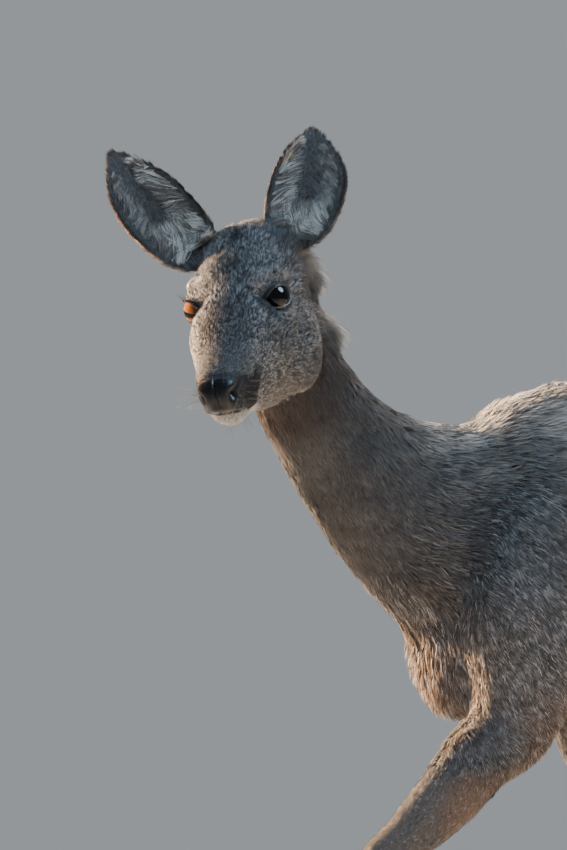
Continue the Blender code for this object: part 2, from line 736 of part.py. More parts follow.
def part_anchors():
    """A point inside each part of the flesh, to tell the parts by."""
    matrix = head_matrix()
    anchors = {
        "head": matrix @ Vector((0.0, 0.0, -0.03)),
        "nose": matrix @ Vector((0.122, 0.0, -0.018)),
        "neck": Vector(NECK[5][1]),
        "trunk": Vector((0.17, 0.0, 0.53)),
        "tail": TAIL_ROOT + Vector((0.010, 0.0, -0.004)),
    }
    for side, word in ((LEFT, "left"), (RIGHT, "right")):
        root, along, _, _ = ear_axes(side)
        anchors[word + "_ear"] = root + along * 0.075
        fore = leg_joints(FORE_LEGS[side], side)
        hind = leg_joints(HIND_LEGS[side], side)
        anchors[word + "_forearm"] = fore[2].lerp(fore[3], 0.5)
        anchors[word + "_fore_cannon"] = fore[3].lerp(fore[4], 0.5)
        anchors[word + "_fore_pastern"] = fore[4].lerp(fore[5], 0.4)
        anchors[word + "_gaskin"] = hind[1].lerp(hind[2], 0.45)
        anchors[word + "_hind_cannon"] = hind[2].lerp(hind[3], 0.5)
        anchors[word + "_hind_pastern"] = hind[3].lerp(hind[4], 0.4)
    return anchors


def name_parts(obj, wanted):
    """Split an object into its islands and name each by the nearest anchor."""
    anchors = part_anchors()
    points = [vert.co.copy() for vert in obj.data.vertices]
    made = {}
    for group in islands(obj):
        middle = sum((points[i] for i in group), Vector()) / len(group)
        name = min(anchors, key=lambda key: (anchors[key] - middle).length)
        if name in made and len(made[name]) > len(group):
            continue
        made[name] = group
    parts = {name: island_object(obj, made[name], name) for name in wanted}
    remove(obj)
    return parts


def nose_cutters():
    """Two thin plates that part the bare nose from the muzzle, behind and below it."""
    matrix = head_matrix()
    foot = Vector((0.1160, 0.0, -0.0325))
    lean = Matrix.Translation(foot) @ Matrix.Rotation(radians(-6), 4, "Y")
    behind = box_between((-CUT, -0.035, 0.0), (0.0, 0.035, 0.050), matrix @ lean)
    below = box_between((-0.0010, -0.035, -CUT), (0.0300, 0.035, 0.0),
                        matrix @ Matrix.Translation(foot))
    return [behind, below]


# ---------------------------------------------------------------------------------------------
# The whole deer


def settle(objects):
    """Move every piece so that the origin lies on the floor under the middle of the whole."""
    points = np.array([vert.co for obj in objects for vert in obj.data.vertices])
    middle = (points.min(axis=0) + points.max(axis=0)) / 2
    shift = Matrix.Translation((-middle[0], -middle[1], -points[:, 2].min()))
    for obj in objects:
        obj.data.transform(shift)


def build():
    """Model the deer and leave one named object for each part."""
    clear_scene()
    coat = material("winter_coat", (0.24, 0.20, 0.17), 0.88)
    ear_coat = material("ear_coat", (0.20, 0.16, 0.13), 0.90)
    bare_nose = material("bare_nose", (0.012, 0.012, 0.014), 0.28)
    eyeball = material("eyeball", (0.010, 0.007, 0.005), 0.04)
    horn = material("claw_horn", (0.022, 0.019, 0.017), 0.42)

    flesh = whole_flesh()
    pieces = {}
    clearances = []
    for side, word in ((LEFT, "left"), (RIGHT, "right")):
        place, radius = eye(side)
        pieces[word + "_eye"] = ellipsoid(word + "_eye", place, (radius,) * 3, segments=16)
        grown = radius + GAP * 1.5
        clearances.append(ellipsoid("eye_room", place, (grown,) * 3, segments=16))
        for legs, which in ((FORE_LEGS, "fore"), (HIND_LEGS, "hind")):
            joints = leg_joints(legs[side], side)
            for inner, place_word in ((False, "outer"), (True, "inner")):
                name = f"{word}_{which}_{place_word}_hoof"
                pieces[name] = hoof(name, joints[-1], side, inner)
                name = f"{word}_{which}_{place_word}_dewclaw"
                pieces[name] = dewclaw(name, joints[-2], side, inner)
    clearances += [grown_copy(obj, GAP) for name, obj in pieces.items() if "claw" in name]
    clearances += [grown_copy(obj, GAP) for name, obj in pieces.items() if "hoof" in name]

    head_flesh = copy_of(flesh)
    keep_faces(head_flesh, DETAIL["head"])
    keep_faces(flesh, DETAIL["body"])
    for side in (LEFT, RIGHT):
        ear = ear_mass(side)
        add_boolean(head_flesh, ear, "UNION")
        apply_modifiers(head_flesh)
        remove(ear)
    cuts = all_cuts()
    for cutter in cuts + clearances:
        add_boolean(head_flesh, cutter, "DIFFERENCE")
        add_boolean(flesh, cutter, "DIFFERENCE")
        apply_modifiers(flesh)
        apply_modifiers(head_flesh)
        remove(cutter)
    for cutter in nose_cutters():
        cut_away(head_flesh, cutter)

    head_names = ["head", "nose", "left_ear", "right_ear"]
    body_names = [name for name in part_anchors() if name not in head_names]
    parts = name_parts(head_flesh, head_names)
    parts.update(name_parts(flesh, body_names))
    for name, obj in parts.items():
        finish = bare_nose if name == "nose" else ear_coat if name.endswith("_ear") else coat
        obj.data.materials.clear()
        obj.data.materials.append(finish)
        obj.data.shade_smooth()
        obj.data.set_sharp_from_angle(angle=radians(50))
    for name, obj in pieces.items():
        obj.data.materials.append(eyeball if name.endswith("_eye") else horn)
        obj.data.shade_smooth()
        obj.data.set_sharp_from_angle(angle=radians(40))
    settle(list(parts.values()) + list(pieces.values()))


build()
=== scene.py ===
"""Looks of the life-size roe deer doe: skin, eyes, lids, nose, claws, whiskers and coat.

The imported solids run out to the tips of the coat.  One skin is worked out from all the flesh
solids, lies inside them by the depth of the coat, and carries the face's folds.  The coat is
made of thin tapered tufts that follow the lie of the hair over that skin.

Frame: metres, +Z up, the trunk faces -X and the animal's left side lies towards -Y.  The head
has its own axes: forward to the nose, left, and up.
"""

from __future__ import annotations

import json
import logging
from dataclasses import dataclass, field
from enum import Enum
from math import cos, pi, radians, sin

import bmesh
import bpy
import numpy as np
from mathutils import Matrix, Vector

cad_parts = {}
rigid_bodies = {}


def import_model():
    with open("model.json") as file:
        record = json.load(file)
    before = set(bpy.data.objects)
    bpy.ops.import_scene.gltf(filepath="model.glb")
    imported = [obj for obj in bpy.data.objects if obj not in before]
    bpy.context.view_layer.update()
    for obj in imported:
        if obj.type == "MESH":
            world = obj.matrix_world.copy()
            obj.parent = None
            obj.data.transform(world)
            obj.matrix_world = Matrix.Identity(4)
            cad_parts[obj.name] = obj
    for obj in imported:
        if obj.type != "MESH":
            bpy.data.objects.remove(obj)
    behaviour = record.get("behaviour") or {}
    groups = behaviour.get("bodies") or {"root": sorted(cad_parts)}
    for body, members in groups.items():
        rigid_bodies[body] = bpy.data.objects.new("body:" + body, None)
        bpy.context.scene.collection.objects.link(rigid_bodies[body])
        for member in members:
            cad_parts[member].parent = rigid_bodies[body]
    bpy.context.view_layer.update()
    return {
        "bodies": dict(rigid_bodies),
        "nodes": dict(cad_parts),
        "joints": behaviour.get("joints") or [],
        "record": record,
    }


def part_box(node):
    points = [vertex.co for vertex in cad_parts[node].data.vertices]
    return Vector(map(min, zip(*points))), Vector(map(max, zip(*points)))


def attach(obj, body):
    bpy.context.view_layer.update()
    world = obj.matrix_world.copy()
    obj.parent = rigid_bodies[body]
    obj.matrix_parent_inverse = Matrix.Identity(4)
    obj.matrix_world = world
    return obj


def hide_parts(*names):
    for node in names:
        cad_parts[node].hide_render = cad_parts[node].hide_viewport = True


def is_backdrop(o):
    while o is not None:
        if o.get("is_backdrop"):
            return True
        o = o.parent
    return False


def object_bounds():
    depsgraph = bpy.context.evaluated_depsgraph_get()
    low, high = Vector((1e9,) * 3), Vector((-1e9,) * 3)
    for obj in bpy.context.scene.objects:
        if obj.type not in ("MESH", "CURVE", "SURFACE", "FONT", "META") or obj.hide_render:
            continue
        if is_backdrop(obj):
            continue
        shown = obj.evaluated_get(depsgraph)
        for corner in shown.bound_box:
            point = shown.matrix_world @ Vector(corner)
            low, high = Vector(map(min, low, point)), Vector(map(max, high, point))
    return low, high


LOG = logging.getLogger("roe_deer")

Array = np.ndarray


class Side(Enum):
    """Side of the animal; the value is the sign of Y."""

    LEFT = -1
    RIGHT = 1

    @property
    def word(self) -> str:
        """The side in lower case, as node names have it."""
        return self.name.lower()


# --------------------------------------------------------------------------------------------
# Small numeric helpers


def unit(vectors: Array) -> Array:
    """Vectors scaled to length one along their last axis."""
    vectors = np.asarray(vectors, dtype=float)
    length = np.linalg.norm(vectors, axis=-1, keepdims=True)
    return vectors / np.maximum(length, 1e-12)


def smooth(low: float, high: float, values: Array) -> Array:
    """Smooth step: 0 below low, 1 above high (or the reverse when high is below low)."""
    share = np.clip((values - low) / (high - low), 0.0, 1.0)
    return share * share * (3.0 - 2.0 * share)


def fade(start: float, ends: tuple[float, float], values: Array) -> Array:
    """Smooth step from 0 to 1 between two places that are given past a start."""
    return smooth(start + ends[0], start + ends[1], values)


def bell(values: Array, width: float) -> Array:
    """Bell curve of height one: exp(-(value / width) squared)."""
    return np.exp(-((values / width) ** 2))


def flatten(vectors: Array, normals: Array) -> Array:
    """Vectors with their part along the normals taken out, scaled to length one."""
    along = np.sum(vectors * normals, axis=-1, keepdims=True)
    return unit(vectors - normals * along)


WAVES = 9                            # how many sine waves make up a soft random field


def waves(points: Array, size: float, seed: int) -> Array:
    """A soft random field of about -1 to 1: a sum of plane sine waves of about one size.

    Args:
        points: places, one per row.
        size: length of a wave in metres.
        seed: picks the directions and phases.

    Returns:
        One value per point.
    """
    draw = np.random.default_rng(seed)
    total = np.zeros(len(points))
    for _ in range(WAVES):
        way = unit(draw.normal(size=3)) * (2 * pi / (size * draw.uniform(0.6, 1.7)))
        total += np.sin(points @ way + draw.uniform(0, 2 * pi))
    return total / np.sqrt(WAVES)


def size_of(rows: Array) -> Array:
    """Length of each row's vector."""
    return np.linalg.norm(rows, axis=1)


def middle(node: str) -> Array:
    """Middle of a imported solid's box."""
    low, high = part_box(node)
    return (np.array(low) + np.array(high)) / 2


FRAME: dict = {}


# --------------------------------------------------------------------------------------------
# Frames of the head, the eyes and the ears


@dataclass(frozen=True)
class HeadFrame:
    """The head's axes; the origin lies midway between the eyes, a little behind them."""

    origin: Array
    axes: Array                      # columns: forward, left, up

    TURN = radians(52.4)             # turned to the left of the trunk's direction
    DROP = radians(34.1)             # nose below the horizon
    TILT = radians(10.9)             # left side raised
    EYE_FORWARD = 0.006              # eyeballs ahead of the origin

    @classmethod
    def from_eyes(cls) -> "HeadFrame":
        """The frame whose origin is set by the two packed eyeballs."""
        forward = np.array([-cos(cls.DROP) * cos(cls.TURN), -cos(cls.DROP) * sin(cls.TURN),
                            -sin(cls.DROP)])
        level = np.array([sin(cls.TURN), -cos(cls.TURN), 0.0])
        left = level * cos(cls.TILT) + np.cross(forward, level) * sin(cls.TILT)
        axes = np.stack([forward, left, np.cross(forward, left)], axis=1)
        between = (middle("left_eye") + middle("right_eye")) / 2
        return cls(between - forward * cls.EYE_FORWARD, axes)

    def to_head(self, points: Array) -> Array:
        """Places in the row frame given along the head's axes."""
        return (points - self.origin) @ self.axes

    def to_row(self, points: Array) -> Array:
        """Places along the head's axes given in the row frame."""
        return self.origin + np.asarray(points) @ self.axes.T

    def turn(self, vectors: Array) -> Array:
        """Directions along the head's axes given in the row frame."""
        return np.asarray(vectors) @ self.axes.T


@dataclass(frozen=True)
class EyeFrame:
    """An eyeball's middle and axes: towards the temple, up, and out along the gaze."""

    centre: Array
    axes: Array                      # columns: temple, up, gaze

    RADIUS = 0.0135
    GAZE = (0.60, 0.79, 0.06)        # of the left eye, along the head's axes

    @classmethod
    def of(cls, head: HeadFrame, side: Side) -> "EyeFrame":
        """The frame of one packed eyeball."""
        gaze = np.array(cls.GAZE) * (1, -side.value, 1)
        gaze = unit(head.turn(gaze))
        up = flatten(head.axes[:, 2], gaze)
        temple = np.cross(up, gaze) * -side.value
        return cls(middle(f"{side.word}_eye"), np.stack([temple, up, gaze], axis=1))

    def local(self, points: Array) -> Array:
        """Places along the eye's axes."""
        return (points - self.centre) @ self.axes

    def to_row(self, points: Array) -> Array:
        """Places along the eye's axes given in the row frame."""
        return self.centre + points @ self.axes.T


@dataclass(frozen=True)
class LidOpening:
    """The almond between the lids, in angles as seen from the eyeball's middle."""

    half_long: float = radians(66)
    half_up: float = radians(51)
    half_down: float = radians(27)
    shift: float = radians(-2)       # towards the temple
    corner_drop: float = radians(-9)  # how much higher the temple's corner lies
    duct: float = radians(9)         # how far the nose-side corner is drawn out

    def ratio(self, local: Array) -> Array:
        """How far out a place lies: 1 on the lids' edge, less inside, more outside.

        The edge is an ellipse with its own height above and below, whose nose side is drawn
        out into the corner of the eye.
        """
        across = np.arctan2(local[:, 0], local[:, 2]) - self.shift
        rise = np.arctan2(local[:, 1], np.hypot(local[:, 0], local[:, 2]))
        rise = rise - self.corner_drop * np.clip(across / self.half_long, -1.6, 1.6)
        nose = smooth(0.0, -self.half_long, across)
        long = self.half_long + self.duct * nose * bell(rise, radians(14))
        high = np.where(rise > 0, self.half_up, self.half_down)
        return np.sqrt((across / long) ** 2 + (rise / high) ** 2)

    def edge(self, angle: Array, scale: Array | float) -> tuple[Array, Array]:
        """Angles across and up of the edge at a turn round it, scaled about its middle."""
        across = self.half_long * np.cos(angle)
        nose = np.clip(-np.cos(angle), 0, 1)
        across = across - self.duct * nose ** 6
        high = np.where(np.sin(angle) > 0, self.half_up, self.half_down)
        rise = high * np.sin(angle) * (1 - 0.25 * nose ** 3)
        rise = rise * scale + self.corner_drop * np.cos(angle)
        return across * scale + self.shift, rise


@dataclass(frozen=True)
class EarFrame:
    """An ear's root and axes, and the width of its leaf along its length."""

    root: Array
    along: Array
    opening: Array
    outer: Array
    side: Side

    LENGTH = 0.1284
    INNER = 0.0224                   # half width towards the crown
    OUTER = 0.0439                   # half width away from it
    CUP = 0.0170
    THICK = 0.0060
    BASE = 0.76
    WIDEST = 0.42
    BEND = radians(66)
    ROOT = (-0.0566, 0.0331, 0.0119)
    POSES = {
        Side.LEFT: ((-0.915, 0.157, 0.373), (0.404, 0.357, 0.842)),
        Side.RIGHT: ((-0.392, -0.538, 0.746), (0.517, 0.542, 0.662)),
    }

    @classmethod
    def of(cls, head: HeadFrame, side: Side) -> "EarFrame":
        """The frame of one ear, set on the head's axes."""
        along, opening = (head.turn(np.array(way)) for way in cls.POSES[side])
        along = unit(along)
        opening = flatten(opening, along)
        outer = np.cross(along, opening) * -side.value
        root = head.to_row(np.array(cls.ROOT) * (1, -side.value, 1))
        return cls(root, along, opening, outer, side)

    def form(self, share: Array) -> Array:
        """Width of the leaf as a share of its widest, from root (0) to tip (1)."""
        share = np.clip(share, 0.0, 1.0)
        low = self.BASE + (1 - self.BASE) * np.sin(pi / 2 * share / self.WIDEST)
        low = low * (0.66 + 0.34 * np.sin(pi / 2 * np.minimum(share / 0.16, 1.0)))
        past = np.clip((share - self.WIDEST) / (1 - self.WIDEST), 0.0, 1.0)
        high = np.maximum(np.cos(pi / 2 * past ** 1.15), 0.0) ** 0.75
        return np.maximum(np.where(share < self.WIDEST, low, high), 0.12)

    def in_front(self, points: Array) -> Array:
        """1 on the ear's hollow side, 0 on its back."""
        share, across, height = self.local(points)
        bend = np.arcsin(np.clip(across * sin(self.BEND), -1, 1))
        cup = self.CUP * self.form(share) * (1.15 - 0.55 * share)
        mid = -0.5 * self.CUP + cup * (1 - np.cos(bend)) / (1 - cos(self.BEND))
        return smooth(-0.0004, 0.0004, height - mid)

    def away(self, points: Array) -> Array:
        """Distance from the ear's long axis."""
        return size_of(np.cross(points - self.root, self.along))

    def local(self, points: Array) -> tuple[Array, Array, Array]:
        """Share along the ear, place across it (-1 inner edge, 1 outer edge) and height in front."""
        away = points - self.root
        share = away @ self.along / self.LENGTH
        across = away @ self.outer
        half = np.where(across > 0, self.OUTER, self.INNER) * self.form(share)
        return share, across / half, away @ self.opening


@dataclass(frozen=True)
class Fold:
    """A ridge or crease along a broken line, the same on both sides of the head."""

    line: tuple[tuple[float, float, float], ...]
    height: float
    width: float

    def nearness(self, head_places: Array) -> Array:
        """A bell over the distance to the line, for places given along the head's axes."""
        places = head_places.copy()
        places[:, 1] = np.abs(places[:, 1])
        distance = np.full(len(places), np.inf)
        for start, end in zip(np.array(self.line[:-1]), np.array(self.line[1:])):
            way = end - start
            share = np.clip((places - start) @ way / (way @ way), 0.0, 1.0)
            away = size_of(places - start - share[:, None] * way)
            distance = np.minimum(distance, away)
        return bell(distance, self.width)


BROW = Fold(((0.0150, 0.0270, 0.0190), (0.0036, 0.0372, 0.0195), (-0.0190, 0.0410, 0.0070)),
            0.0020, 0.0042)
FOLDS = (
    BROW,
    Fold(((0.0188, 0.0320, 0.0030), (0.0462, 0.0342, -0.0031), (0.0574, 0.0339, -0.0131)),
         -0.0020, 0.0034),
    Fold(((0.0060, 0.0450, -0.0380), (0.0004, 0.0475, -0.0460), (0.0054, 0.0490, -0.0631),
          (-0.0060, 0.0460, -0.0880)), -0.0026, 0.0045),
    Fold(((0.0600, 0.0290, -0.0250), (0.0420, 0.0380, -0.0330), (0.0240, 0.0420, -0.0360)),
         0.0016, 0.0050),
)


# --------------------------------------------------------------------------------------------
# Guides: where the hair lies which way, and how deep the coat is


@dataclass(frozen=True)
class Coat:
    """Size of the coat somewhere: depth over the skin, and a tuft's length, width and lift."""

    depth: float
    length: float
    width: float
    lift: float


class Coats:
    """The kinds of coat, from face to rump."""

    FACE = Coat(0.0018, 0.0040, 0.00060, 18)
    CHEEK = Coat(0.0027, 0.0062, 0.00066, 22)
    CROWN = Coat(0.0026, 0.0062, 0.00066, 24)
    EAR = Coat(0.0008, 0.0060, 0.00065, 14)
    THROAT = Coat(0.0036, 0.0160, 0.00080, 30)
    NECK = Coat(0.0050, 0.0145, 0.00085, 24)
    BREAST = Coat(0.0045, 0.0190, 0.00095, 32)
    SHOULDER = Coat(0.0042, 0.0110, 0.00085, 23)
    TRUNK = Coat(0.0060, 0.0170, 0.00105, 24)
    THIGH = Coat(0.0050, 0.0170, 0.00115, 22)
    RUMP = Coat(0.0065, 0.0220, 0.00125, 27)
    TAIL = Coat(0.0045, 0.0160, 0.00105, 25)
    UPPER_LEG = Coat(0.0026, 0.0095, 0.00085, 18)
    CANNON = Coat(0.0015, 0.0064, 0.00080, 14)
    PASTERN = Coat(0.0015, 0.0060, 0.00080, 16)


@dataclass(frozen=True)
class Guide:
    """A straight line inside the flesh, with the coat and the lie of the hair round it."""

    zone: str
    start: Array
    end: Array
    radius: float
    lie: Array
    coat: Coat

    def nearness(self, points: Array) -> Array:
        """Weight of this guide: (radius / distance to the line) to the sixth power."""
        line = self.end - self.start
        share = np.clip((points - self.start) @ line / (line @ line), 0.0, 1.0)
        distance = size_of(points - self.start - share[:, None] * line)
        return (self.radius / np.maximum(distance, 0.004)) ** 6


LINE_SHARE = 0.85                    # of a solid's length that its guide runs through


def node_line(node: str, towards: Array) -> tuple[Array, Array, float]:
    """The longest line through a solid and its mean radius.

    Args:
        node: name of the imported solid.
        towards: rough direction that the line should run in.

    Returns:
        Start, end and radius of the line, worked out from the spread of the vertices.
    """
    points = vertex_places(FRAME["nodes"][node].data)
    centre = points.mean(axis=0)
    _, _, ways = np.linalg.svd(points - centre, full_matrices=False)
    way = ways[0] if ways[0] @ towards > 0 else -ways[0]
    along = (points - centre) @ way
    radius = size_of(points - centre - along[:, None] * way).mean()
    start, end = (centre + way * reach * LINE_SHARE for reach in (along.min(), along.max()))
    return start, end, radius


class Anatomy:
    """All guides of the animal, and the frames of its head, eyes and ears."""

    DOWN = np.array([0.0, 0.0, -1.0])

    def __init__(self) -> None:
        """Set up the frames and gather the guides."""
        self.head = HeadFrame.from_eyes()
        self.eyes = {side: EyeFrame.of(self.head, side) for side in Side}
        self.ears = {side: EarFrame.of(self.head, side) for side in Side}
        self.guides = self.head_guides() + self.body_guides()
        for side in Side:
            self.guides += self.leg_guides(side)
        self.zones = sorted({guide.zone for guide in self.guides})

    def head_guides(self) -> list[Guide]:
        """Guides of the face, cheeks, crown, jaw and ears."""
        place, turn = self.head.to_row, self.head.turn
        found = [
            Guide("face", place((0.118, 0, -0.026)), place((0.030, 0, -0.022)), 0.030,
                  turn((-1.0, 0, 0.12)), Coats.FACE),
            Guide("crown", place((0.005, 0, 0.004)), place((-0.085, 0, -0.006)), 0.034,
                  turn((-1.0, 0, 0.10)), Coats.CROWN),
            Guide("cheeks", place((0.070, 0, -0.062)), place((-0.025, 0, -0.088)), 0.022,
                  turn((-0.95, 0, -0.30)), Coats.CHEEK),
        ]
        for side in Side:
            left = -side.value
            found.append(Guide("cheeks", place((0.030, 0.022 * left, -0.050)),
                               place((-0.050, 0.026 * left, -0.060)), 0.028,
                               turn((-0.90, 0.10 * left, -0.42)), Coats.CHEEK))
            ear = self.ears[side]
            found.append(Guide("ear", ear.root + ear.along * 0.022, ear.root + ear.along * 0.118,
                               0.030, ear.along, Coats.EAR))
        return found

    def body_guides(self) -> list[Guide]:
        """Guides of the neck, breast, trunk, rump and tail."""
        low, high = (np.array(corner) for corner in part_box("trunk"))
        start, end, radius = node_line("neck", np.array([1.0, 0.0, -1.0]))
        lie = unit(end - start)
        tail = middle("tail")
        spine = 0.60 * high[2] + 0.40 * low[2]
        front = np.array([low[0] + 0.105, 0.05, spine - 0.02])
        rear = np.array([high[0] - 0.125, 0.05, spine + 0.01])
        breast = np.array([low[0] + 0.055, 0.05, spine - 0.075])
        return [
            Guide("neck", start, end, radius, lie, Coats.NECK),
            Guide("neck", start, start + lie * 0.01, 0.030, lie, Coats.THROAT),
            Guide("trunk", front, rear, 0.098, np.array([1.0, 0.0, -0.16]), Coats.TRUNK),
            Guide("shoulders", breast, breast - (0, 0, 0.05), 0.062,
                  np.array([0.30, 0.0, -0.95]), Coats.BREAST),
            Guide("rump", tail - (0.030, 0, -0.01), tail - (0.045, 0, 0.11), 0.045,
                  np.array([0.20, 0.0, -0.98]), Coats.RUMP),
            Guide("rump", tail, tail + (0.004, 0, -0.012), 0.020,
                  np.array([0.35, 0.0, -0.94]), Coats.TAIL),
        ]

    def leg_guides(self, side: Side) -> list[Guide]:
        """Guides of one foreleg and one hind leg, from shoulder and hip to pastern."""
        found = []
        for zone, nodes in (("forelegs", ("forearm", "fore_cannon", "fore_pastern")),
                            ("hindlegs", ("gaskin", "hind_cannon", "hind_pastern"))):
            for node, coat in zip(nodes, (Coats.UPPER_LEG, Coats.CANNON, Coats.PASTERN)):
                start, end, radius = node_line(f"{side.word}_{node}", self.DOWN)
                found.append(Guide(zone, start, end, radius, unit(end - start), coat))
        elbow = found[0].start
        knee = found[3].start
        found.append(Guide("shoulders", elbow + (0.030, 0, 0.190), elbow + (0, 0, 0.02), 0.050,
                           np.array([0.55, 0.0, -0.83]), Coats.SHOULDER))
        found.append(Guide("haunches", knee + (0.020, 0, 0.160), knee + (0, 0, 0.02), 0.056,
                           np.array([0.42, 0.0, -0.90]), Coats.THIGH))
        return found

    def weights(self, points: Array) -> Array:
        """Share of each guide at each place, one row per place, rows summing to one."""
        near = np.stack([guide.nearness(points) for guide in self.guides], axis=1)
        return near / near.sum(axis=1, keepdims=True)


# --------------------------------------------------------------------------------------------
# Meshes


def placed(name: str, data: bpy.types.ID) -> bpy.types.Object:
    """A new object in the scene."""
    thing = bpy.data.objects.new(name, data)
    bpy.context.scene.collection.objects.link(thing)
    return thing


def mesh_object(name: str, points: Array, faces: Array, finish: bpy.types.Material) -> bpy.types.Object:
    """A new mesh object that rides with the body.

    Args:
        name: the piece's name.
        points: vertices, one per row.
        faces: vertex numbers, one face per row (triangles or quads).
        finish: its material.

    Returns:
        The linked object, shaded smooth.
    """
    mesh = bpy.data.meshes.new(name)
    size = faces.shape[1]
    mesh.vertices.add(len(points))
    mesh.vertices.foreach_set("co", np.ascontiguousarray(points, dtype=np.float32).ravel())
    mesh.loops.add(faces.size)
    mesh.loops.foreach_set("vertex_index", np.ascontiguousarray(faces, dtype=np.int32).ravel())
    mesh.polygons.add(len(faces))
    mesh.polygons.foreach_set("loop_start", np.arange(0, faces.size, size, dtype=np.int32))
    mesh.update(calc_edges=True)
    mesh.shade_smooth()
    mesh.materials.append(finish)
    thing = placed(name, mesh)
    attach(thing, "root")
    return thing


def grid_faces(rows: int, columns: int, round_rows: bool = False) -> Array:
    """Quads of a grid of points numbered row by row, whose columns close into a ring.

    Args:
        rows: number of rows.
        columns: number of points in a row, the last joined to the first.
        round_rows: also join the last row to the first.

    Returns:
        Vertex numbers, four to a face.
    """
    row = np.arange(rows if round_rows else rows - 1)[:, None]
    column = np.arange(columns)[None, :]
    after = (column + 1) % columns
    below = (row + 1) % rows
    corners = [row * columns + column, row * columns + after,
               below * columns + after, below * columns + column]
    return np.stack([corner.ravel() for corner in np.broadcast_arrays(*corners)], axis=1)


def tube_faces(count: int, around: int) -> Array:
    """Triangles over rings numbered one after another, then a first and a last end point.

    Args:
        count: number of rings.
        around: number of points in a ring.

    Returns:
        Vertex numbers, three to a face.
    """
    quads = grid_faces(count, around)
    turn = np.arange(around)
    after = (turn + 1) % around
    first = count * around
    last_ring = first - around
    low = np.stack([np.full(around, first), after, turn], axis=1)
    high = np.stack([np.full(around, first + 1), last_ring + turn, last_ring + after], axis=1)
    return np.concatenate([quads[:, [0, 1, 2]], quads[:, [0, 2, 3]], low, high])


def closed_tube(rings: Array) -> tuple[Array, Array]:
    """Triangles over rings of points, closed by a point at each end.

    Args:
        rings: places, shaped (rings, points round, 3).

    Returns:
        Vertices and triangles.
    """
    ends = np.stack([rings[0].mean(axis=0), rings[-1].mean(axis=0)])
    points = np.concatenate([rings.reshape(-1, 3), ends])
    return points, tube_faces(*rings.shape[:2])


def turned_out(thing: bpy.types.Object) -> bpy.types.Object:
    """Recalculate the normals of a closed piece so that they look outwards."""
    shape = bmesh.new()
    shape.from_mesh(thing.data)
    bmesh.ops.recalc_face_normals(shape, faces=shape.faces)
    shape.to_mesh(thing.data)
    shape.free()
    return thing


def put_colour(mesh: bpy.types.Mesh, name: str, values: Array) -> None:
    """Store up to four values per vertex as a colour attribute."""
    full = np.zeros((len(mesh.vertices), 4), dtype=np.float32)
    full[:, : values.shape[1]] = values
    layer = mesh.attributes.new(name, "FLOAT_COLOR", "POINT")
    layer.data.foreach_set("color", full.ravel())


def read_rows(items: bpy.types.bpy_prop_collection, name: str) -> Array:
    """A vector property of all items of a collection, one per row."""
    rows = np.empty(len(items) * 3, dtype=np.float32)
    items.foreach_get(name, rows)
    return rows.reshape(-1, 3).astype(float)


def vertex_places(mesh: bpy.types.Mesh) -> Array:
    """Vertices of a mesh, one per row."""
    return read_rows(mesh.vertices, "co")


def vertex_normals(mesh: bpy.types.Mesh) -> Array:
    """Vertex normals of a mesh, one per row."""
    return read_rows(mesh.vertex_normals, "vector")


def move_vertices(mesh: bpy.types.Mesh, points: Array) -> None:
    """Give the vertices of a mesh new places, one per row."""
    mesh.vertices.foreach_set("co", points.astype(np.float32).ravel())
    mesh.update()


class Neighbours:
    """The edges of a mesh, over which values are averaged."""

    def __init__(self, mesh: bpy.types.Mesh) -> None:
        """Read the edges and count each vertex's neighbours."""
        pairs = np.empty(len(mesh.edges) * 2, dtype=np.int32)
        mesh.edges.foreach_get("vertices", pairs)
        pairs = pairs.reshape(-1, 2)
        self.here = np.concatenate([pairs[:, 0], pairs[:, 1]])
        self.there = np.concatenate([pairs[:, 1], pairs[:, 0]])
        self.count = len(mesh.vertices)
        self.degree = np.maximum(np.bincount(self.here, minlength=self.count), 1)

    def average(self, values: Array, rounds: int, share: float | Array = 0.5) -> Array:
        """Each value moved a share of the way to its neighbours' mean, some rounds over."""
        values = values.copy()
        share = np.asarray(share, dtype=float)
        share = share[:, None] if share.ndim else share
        for _ in range(rounds):
            sums = [np.bincount(self.here, values[self.there, k], self.count)
                    for k in range(values.shape[1])]
            mean = np.stack(sums, axis=1) / self.degree[:, None]
            values += (mean - values) * share
        return values


def evaluated(thing: bpy.types.Object) -> bpy.types.Mesh:
    """The mesh of an object with its modifiers applied."""
    graph = bpy.context.evaluated_depsgraph_get()
    return bpy.data.meshes.new_from_object(thing.evaluated_get(graph))


# --------------------------------------------------------------------------------------------
# Skin


